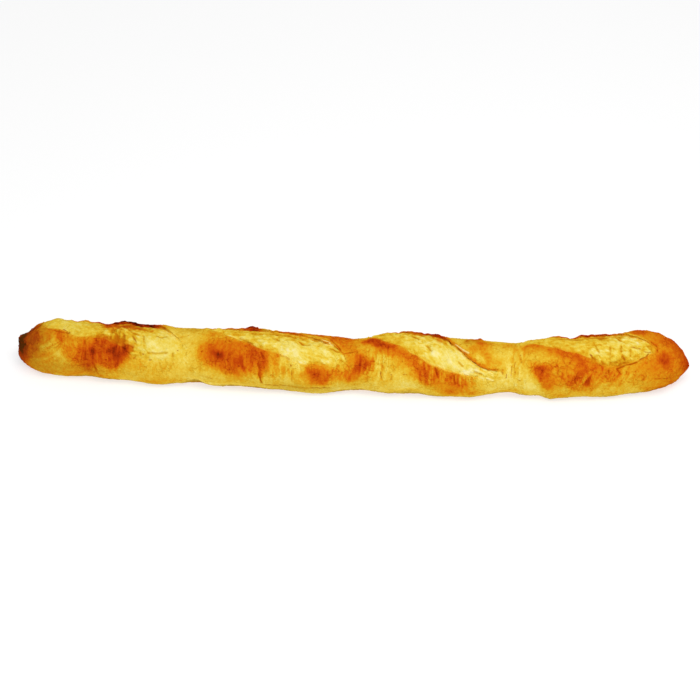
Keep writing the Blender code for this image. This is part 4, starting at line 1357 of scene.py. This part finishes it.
def freckles_on(place, fleck):
    """Small round spots in half of a pattern's cells."""
    cells = place.bench.node("ShaderNodeTexVoronoi", {}, {"Vector": place, "Scale": 1 / FRECKLE_CELL})
    chosen = place.bench.node("ShaderNodeSeparateColor", {}, {0: cells.output("Color")}, "Red")
    return (1 - between(cells + fleck * 0.12, 0.05, 0.18)) * between(chosen, 0.5, 0.52)


shared_sizes = np.array([MOTTLE_SIZE, FLECK_SIZE, GRIT_SIZE])
print("mottle, flecks and grit are this large, in mm:", np.round(shared_sizes / MM, 1))


# %% The skin's colour and the crumb's
# The shares in these sums were set one by one. In the skin's level 0 is cream and 1 is burnt.
def skin_colour(bench, noises, freckles):
    """The skin's colour, and the level that it came from."""
    baked = bench.mark("browning")
    is_brown = between(baked, 0.45, 0.8)
    crack_shade = 1 - between(bench.mark("crack"), 0.0, 2.6)
    speckle = (noises.fleck * 0.34 + noises.grit * 0.34) * (1 - is_brown * 0.55)
    level = baked + noises.mottle * 0.26 + speckle + noises.streaks * is_brown * 0.42
    # Low places and the wrinkles' troughs are painted browner and raised places paler: painted shade and
    # painted highlight from the relief. crack_shade is painted shade beside each crack.
    level = level - bench.mark("relief") * 0.12 - bench.mark("fold") * 0.08
    level = level + freckles * 0.14 + crack_shade * 0.04 + noises.crackle * 0.08
    colour = bench.node("ShaderNodeValToRGB", {"stops": CRUST_TONES}, {0: level})
    # The greyed colour is partly the crust's own and partly painted shade, at the left end and along the rim.
    return mixed(bench.mark("dull") * (0.9 + noises.mottle * 1.6), colour, DULL_AND_SHADE_COLOUR), level


def crumb_colour(bench, noises, skin):
    """The crumb's colour, with the skin's over it where the oven reached it."""
    baked = bench.mark("browning")
    tone = bench.mark("crumb_tone") + noises.mottle * 0.36 + noises.fleck * 0.48 + noises.grit * 0.40
    # The crumb's hollows are painted golden and its lumps paler: painted shade and painted highlight from the
    # relief.
    tone = tone - bench.mark("relief") * 0.4 + between(baked, 0.3, 0.9) * 0.5
    colour = bench.node("ShaderNodeValToRGB", {"stops": CRUMB_TONES}, {0: tone})
    return mixed(between(baked, 0.42, 0.75), colour, skin)


print("a middling crust in linear colour:", np.round(CRUST_TONES[3][1][:3], 2))


# %% The baked crust's nodes
FINE_SIZE, PORE_SIZE = 0.9 * MM, 2.0 * MM
BUMP_STRENGTH, BUMP_DEPTH = 0.85, 0.6 * MM
CRACK_SHARE, CREASE_SHARE, PEELED_SHARE = 0.8, 0.4, 0.7  # how strongly each line is coloured


# In its sums the shares were set one by one as well.
def dress_crust(material):
    """Skin, crumb over it, dark lines partly painted shade, pale peeled edges partly painted highlight, a
    fine bump.
    """
    material.use_nodes = True
    material.node_tree.nodes.clear()
    bench = Bench(material.node_tree)
    place = bench.node("ShaderNodeTexCoord", output="Object")
    noises = Noises(place)
    mottle, fleck = noises.mottle, noises.fleck
    freckles = freckles_on(place, fleck)
    skin, level = skin_colour(bench, noises, freckles)
    is_open = between(bench.mark("opening") + fleck * 2.8 + mottle * 3.0, -0.7, 1.7)
    colour = mixed(is_open, skin, crumb_colour(bench, noises, skin))

    crack_line = 1 - between(bench.mark("crack") + fleck * 2.8, 0.1, 1.3)
    crease_line = 1 - between(bench.mark("crease") + fleck * 3.0, 0.0, 1.6)
    peeled_line = 1 - between(bench.mark("peeled") + fleck * 1.4, 0.2, 1.4)
    crack_shows = 1 - between(level, 0.5, 0.9) * 0.7
    # Cracks, wrinkles and pits are coloured dark: partly the crust's own colour there, partly painted shade
    # in the grooves.
    colour = mixed(crack_line * CRACK_SHARE * crack_shows, colour, CRACK_AND_SHADE_COLOUR)
    # The creases' golden colour is painted shade in the crumb's folds.
    colour = mixed(crease_line * CREASE_SHARE, colour, CREASE_SHADE_COLOUR)
    # The peeled edges' paleness is partly their paler skin and partly a painted highlight.
    colour = mixed(peeled_line * PEELED_SHARE, colour, PEELED_HIGHLIGHT_COLOUR)

    fine, pores = cloud(place, FINE_SIZE, 3.0, 5.0), cloud(place, PORE_SIZE, 3.0, 6.0)
    height = fine * 0.5 + pores - freckles * 0.8 - noises.crackle * 0.6 - crease_line * 0.5
    bumps = {"Height": height, "Strength": BUMP_STRENGTH, "Distance": BUMP_DEPTH}
    bump = bench.node("ShaderNodeBump", {}, bumps)
    roughness = 0.55 + is_open * 0.14 + fleck * 0.2
    finish = {"Base Color": colour, "Roughness": roughness, "Normal": bump, "Specular IOR Level": 0.0}
    shader = bench.node("ShaderNodeBsdfPrincipled", {}, finish)
    bench.node("ShaderNodeOutputMaterial", {}, {"Surface": shader})


dress_crust(baked_crust)
print("baked_crust:", len(baked_crust.node_tree.nodes), "nodes")

# %% [markdown]
# ## Torn edges
#
# An ear ends in a thin, torn rim of burnt crust. The fine crust has the ear's fold, but a rim thinner than
# its facets needs its own faces. A sweep fits: a line along each far edge, pushed about by noise, with a
# small round profile whose radius swells and shrinks. Geometry Nodes resamples, shakes and sweeps it.

# %% The lines that the torn edges follow
RIM_STEP = 1.5 * MM
RIM_INSET = 6 * MM  # from the slash's two ends
RIM_TAPER, RIM_THINNEST = 0.1, 0.15  # the share of a line that thins out at each end, and how thin
RIM_DARKEST = 0.94


def rim_lines():
    """Corners, edges and marks of one open line along the top of each ear."""
    corners, edges, burnt_along, tapers = [], [], [], []
    for slash in SLASHES:
        first, last = np.array(slash_span(slash)) + (RIM_INSET, -RIM_INSET)
        along = np.linspace(first, last, int((last - first) / RIM_STEP))
        turn, _ = edge_turn(slash, "far", along)
        start = len(corners)
        corners += list(loaf_shape(along, turn) - TO_FRAME)
        edges += [(i, i + 1) for i in range(start, len(corners) - 1)]
        burnt_along += list(read_off(slash["burnt"], along))
        share = np.linspace(0, 1, len(along))
        tapers += list(ease(share / RIM_TAPER) * ease((1 - share) / RIM_TAPER))
    return corners, edges, np.array(burnt_along), np.array(tapers)


rim_corners, rim_edges, rim_browning, rim_taper = rim_lines()
torn_edges = piece_of("torn_edges", rim_corners, [], rim_edges)
mark_corners(torn_edges.data, {
    "browning": np.clip(rim_browning, 0, RIM_DARKEST),
    "thickness": RIM_THINNEST + (1 - RIM_THINNEST) * rim_taper,
    "opening": np.full(len(rim_corners), -FAR_OFF),
    "dull": np.zeros(len(rim_corners)),
})
for name in ("crack", "crease", "peeled"):
    mark_corners(torn_edges.data, {name: np.full(len(rim_corners), FAR_OFF)})
print("torn edges follow", len(SLASHES), "lines with", len(rim_corners), "corners")


# %% The torn edges' tree
RIM_SIDES = 8
LEAST_SWELLING, MORE_SWELLING = 0.35, 1.3  # of the radius
KNOB_SIZE, KNOB_HEIGHT = 1.6 * MM, 0.5 * MM


def torn_edge_bench():
    """Each line resampled, shaken by noise, and swept with a round profile that swells and shrinks."""
    bench, lines, finish, seed = geometry_bench("torn_edge")
    shake_size = bench.asks("Shake Size")
    curve = bench.node("GeometryNodeMeshToCurve", {}, {"Mesh": lines})
    resampled = {"Curve": curve, "Length": bench.asks("Step")}
    even = bench.node("GeometryNodeResampleCurve", {"mode": "LENGTH"}, resampled)
    place = bench.node("GeometryNodeInputPosition")
    shake = scaled(drift(place, shake_size, 2.0, seed), bench.asks("Shake"))
    shaken = bench.node("GeometryNodeSetPosition", {}, {"Geometry": even, "Offset": shake})
    swelling = LEAST_SWELLING + cloud(place, shake_size, 2.0, seed + 5) * MORE_SWELLING
    profile = {"Resolution": RIM_SIDES, "Radius": 1.0}
    ring = bench.node("GeometryNodeCurvePrimitiveCircle", {"mode": "RADIUS"}, profile)
    swept = {"Curve": shaken, "Profile Curve": ring, "Fill Caps": True}
    swept["Scale"] = bench.asks("Radius") * swelling * bench.mark("thickness")
    rim = bench.node("GeometryNodeCurveToMesh", {}, swept)
    knobs = (cloud(place, KNOB_SIZE, 1.0, seed) - 0.5) * KNOB_HEIGHT
    knobbly = scaled(bench.node("GeometryNodeInputNormal"), knobs)
    bench.gives(bench.node("GeometryNodeSetPosition", {}, {"Geometry": rim, "Offset": knobbly}), finish)
    return bench


TORN_EDGE = {"Material": baked_crust, "Seed": 2.0, "Radius": 0.5 * MM, "Step": 1.1 * MM,
             "Shake Size": 5 * MM, "Shake": 1.6 * MM}
torn_edges.data = run_tree(torn_edges, torn_edge_bench(), TORN_EDGE, "torn_edges")
print("torn edges:", len(torn_edges.data.polygons), "faces")

# %% [markdown]
# ## Blisters
#
# A crust that baked in steam is covered with tiny blisters, thickest where it is brownest. They are the
# same dome again and again, so Geometry Nodes scatter them: points are strewn on the crust, more densely
# where the browning mark is high and none in the crumb or on the base, and each gets a flattened ball of
# 40 faces, half sunk, turned to the surface, with a size of its own.


# %% The blisters' tree
BLISTER_HEIGHT = 0.42  # of its half-width
ON_PALE_SKIN = 0.12  # what share of the full density pale skin still gets


def strewn(bench, skin, density, seed):
    """Points scattered on a surface, and a size for each."""
    told = {"Mesh": skin, "Density": density, "Seed": seed}
    points = bench.node("GeometryNodeDistributePointsOnFaces", {"distribute_method": "RANDOM"}, told)
    limits = {"Min": bench.asks("Smallest"), "Max": bench.asks("Largest"), "Seed": seed}
    return points, bench.node("FunctionNodeRandomValue", {"data_type": "FLOAT"}, limits, "Value")


def placed(points, thing, rotation, size):
    """The same thing on every point."""
    told = {"Points": points, "Instance": thing, "Rotation": rotation, "Scale": size}
    return points.bench.node("GeometryNodeInstanceOnPoints", {}, told)


def blister_bench():
    """Flattened balls, half sunk, densest where the crust is brown and none in the crumb or on the base."""
    bench, skin, finish, seed = geometry_bench("blisters", "NodeSocketInt")
    brown = between(bench.mark("browning"), 0.25, 0.8)
    on_crust = (1 - between(bench.mark("opening"), -2.5, -1.0)) * (1 - bench.mark("underside"))
    points, size = strewn(bench, skin, bench.asks("Density") * (ON_PALE_SKIN + brown) * on_crust, seed)
    ball = bench.node("GeometryNodeMeshUVSphere", {}, {"Segments": 8, "Rings": 5, "Radius": 1.0})
    dome = bench.node("GeometryNodeTransform", {}, {"Geometry": ball, "Scale": (1.0, 1.0, BLISTER_HEIGHT)})
    bench.gives(placed(points, dome, points.output("Rotation"), size), finish)
    return bench


BLISTERS = {"Material": baked_crust, "Seed": 11, "Density": 26000.0,  # for each square metre
            "Smallest": 0.35 * MM, "Largest": 1.05 * MM}
blisters = linked("blisters", run_tree(crust, blister_bench(), BLISTERS, "blisters"))
print("blisters:", len(blisters.data.polygons), "faces")

# %% [markdown]
# ## Flakes
#
# Where the crust tore, thin flakes of it stay stuck along the slashes' edges. A flake is a crooked little
# plate. It is scattered by its own mark, which is high beside the edges, and each one is turned and tilted
# at random.

# %% Where flakes stick
FLAKE_LINE, FLAKE_REACH, FLAKE_LIMIT = -0.6, 2.2, -4  # mm inside a slash, so these lie beside it
beside_slash = bell(opening - FLAKE_LINE, FLAKE_REACH) * (opening > FLAKE_LIMIT)
mark_corners(crust.data, {"flaky": beside_slash * (1 - underside)})
print("flakes may stick to", percent(beside_slash > 0.5))


# %% The flakes' tree
FLAKE_SIDES = 7
BEND_SIZE, BEND = 1 / 0.9, 1.6  # of a flake's own half-width
TILT, SPIN = 0.5, 3.1  # radians each way


def flake_bench():
    """Thin plates, bent by noise, turned and tilted at random."""
    bench, skin, finish, seed = geometry_bench("flakes", "NodeSocketInt")
    disc = {"Vertices": FLAKE_SIDES, "Radius": 1.0, "Depth": bench.asks("Thinness")}
    plate = bench.node("GeometryNodeMeshCylinder", {"fill_type": "NGON"}, disc)
    crook = scaled(drift(bench.node("GeometryNodeInputPosition"), BEND_SIZE), BEND)
    flake = bench.node("GeometryNodeSetPosition", {}, {"Geometry": plate, "Offset": crook})
    points, size = strewn(bench, skin, bench.asks("Density") * bench.mark("flaky"), seed)
    tilt = {"Min": (-TILT, -TILT, -SPIN), "Max": (TILT, TILT, SPIN), "Seed": seed}
    tilted = bench.node("FunctionNodeRandomValue", {"data_type": "FLOAT_VECTOR"}, tilt, "Value")
    turned = {"Rotation": points.output("Rotation"), "Rotate By": tilted}
    aimed = bench.node("FunctionNodeRotateRotation", {"rotation_space": "LOCAL"}, turned)
    bench.gives(placed(points, flake, aimed, size), finish, smooth=False)
    return bench


FLAKES = {"Material": baked_crust, "Seed": 5, "Density": 42000.0, "Thinness": 0.35,
          "Smallest": 0.4 * MM, "Largest": 1.3 * MM}
flakes = linked("flakes", run_tree(crust, flake_bench(), FLAKES, "flakes"))
print("flakes:", len(flakes.data.polygons), "faces")

# %% [markdown]
# ## Inside the solid's box
#
# The dressed loaf must be no bigger than the packed solid. Here and there a blister or a torn rim stands a
# fraction of a millimetre past the solid's box. Cut off at the box they would lie flat in one plane, so what
# lies near a side of the box is drawn in a little instead, all pieces alike.

# %% Drawn inside
SQUEEZED_FROM = 0.92  # of the way from the middle of the box to its side


def corners_of(mesh):
    """Where a mesh's corners are, one row for each."""
    points = np.empty(3 * len(mesh.vertices), dtype=np.float32)
    mesh.vertices.foreach_get("co", points)
    return points.reshape(-1, 3).astype(float)


def squeeze(points, reach):
    """Draws in what lies near the box's sides, so that what reached furthest now ends just inside them."""
    for side, limits, furthest in ((-1, cad_box[0], reach[0]), (1, cad_box[1], reach[1])):
        limits, furthest = side * np.array(limits), side * furthest
        start = SQUEEZED_FROM * limits
        past = np.maximum(side * points - start, 0)
        points = points - side * past * np.maximum(furthest - limits, 0) / np.maximum(furthest - start, MM)
    return np.clip(points, *cad_box)


pieces = (crust, torn_edges, blisters, flakes)
together = np.concatenate([corners_of(piece.data) for piece in pieces])
reach = together.min(axis=0), together.max(axis=0)
for piece in pieces:
    loose = corners_of(piece.data)
    inside = squeeze(loose, reach)
    piece.data.vertices.foreach_set("co", inside.astype(np.float32).ravel())
    piece.data.update()
    print(piece.name, "moved by", round(float(np.abs(inside - loose).max()) / MM, 2), "mm at most")

# %% [markdown]
# ## The pieces and the frame
#
# The fine crust takes the place of the packed solid, which stays behind it for collision. Every piece
# rides on the part's only body.

# %% Which body each piece is on
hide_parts("baguette")
for piece in pieces:
    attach(piece, "root")
print("riding on the loaf:", [piece.name for piece in pieces])

# %% [markdown]
# ## Table, light and camera
#
# The loaf lies on a white table under soft studio light: a bright, even surround and one large panel of
# light above the front. The camera stands where the photograph's did, 40 degrees above the table, with a
# long lens.

# %% The table
WHITE = (1.0, 1.0, 1.0, 1.0)
TABLE_REACH = 6  # metres each way
TABLE_FINISH = {"Base Color": (0.42, 0.42, 0.42, 1.0), "Emission Color": WHITE, "Emission Strength": 0.66,
                "Roughness": 0.8}


def set_inputs(node, values):
    """Gives a node's inputs these values."""
    for name, value in values.items():
        node.inputs[name].default_value = value


table_corners = [(x * TABLE_REACH, y * TABLE_REACH, 0) for x, y in ((-1, -1), (1, -1), (1, 1), (-1, 1))]
floor = piece_of("table", table_corners, [(0, 1, 2, 3)])
table_white = bpy.data.materials.new("table_white")
table_white.use_nodes = True
set_inputs(table_white.node_tree.nodes["Principled BSDF"], TABLE_FINISH)
floor.data.materials.append(table_white)
print("a table", 2 * TABLE_REACH, "m wide")

# %% The light
SURROUND_STRENGTH = 0.42
PANEL_WIDTH, PANEL_LENGTH, PANEL_POWER = 1.1, 0.7, 15.4  # metres, metres and watts
PANEL_PLACE = (0.25, -0.5, 1.5)
world = bpy.data.worlds.new("studio")
bpy.context.scene.world = world
world.use_nodes = True
set_inputs(world.node_tree.nodes["Background"], {"Color": WHITE, "Strength": SURROUND_STRENGTH})
panel = bpy.data.lights.new("panel", "AREA")
panel.shape = "RECTANGLE"
panel.size, panel.size_y = PANEL_WIDTH, PANEL_LENGTH
panel.energy = PANEL_POWER
panel_object = linked("panel", panel)
panel_object.location = PANEL_PLACE
panel_object.rotation_euler = (-panel_object.location).to_track_quat("-Z", "Y").to_euler()
bpy.context.scene.view_settings.view_transform = "Standard"
print("the light panel gives", round(panel.energy, 1), "W")

# %% The camera
AZIMUTH, ELEVATION, DISTANCE = math.radians(3), math.radians(40), 1.884
LENS, SENSOR = 100, 36  # mm
LOOKS_AT = Vector((-0.0018, 0.0117, 0.0230))
camera = linked("camera", bpy.data.cameras.new("camera"))
camera.data.lens, camera.data.sensor_width = LENS, SENSOR
back = Vector((math.sin(AZIMUTH) * math.cos(ELEVATION), -math.cos(AZIMUTH) * math.cos(ELEVATION),
               math.sin(ELEVATION)))
camera.location = LOOKS_AT + back * DISTANCE
camera.rotation_euler = back.to_track_quat("Z", "Y").to_euler()
bpy.context.scene.camera = camera
print("the camera is", DISTANCE, "m away, with a lens of", LENS, "mm")
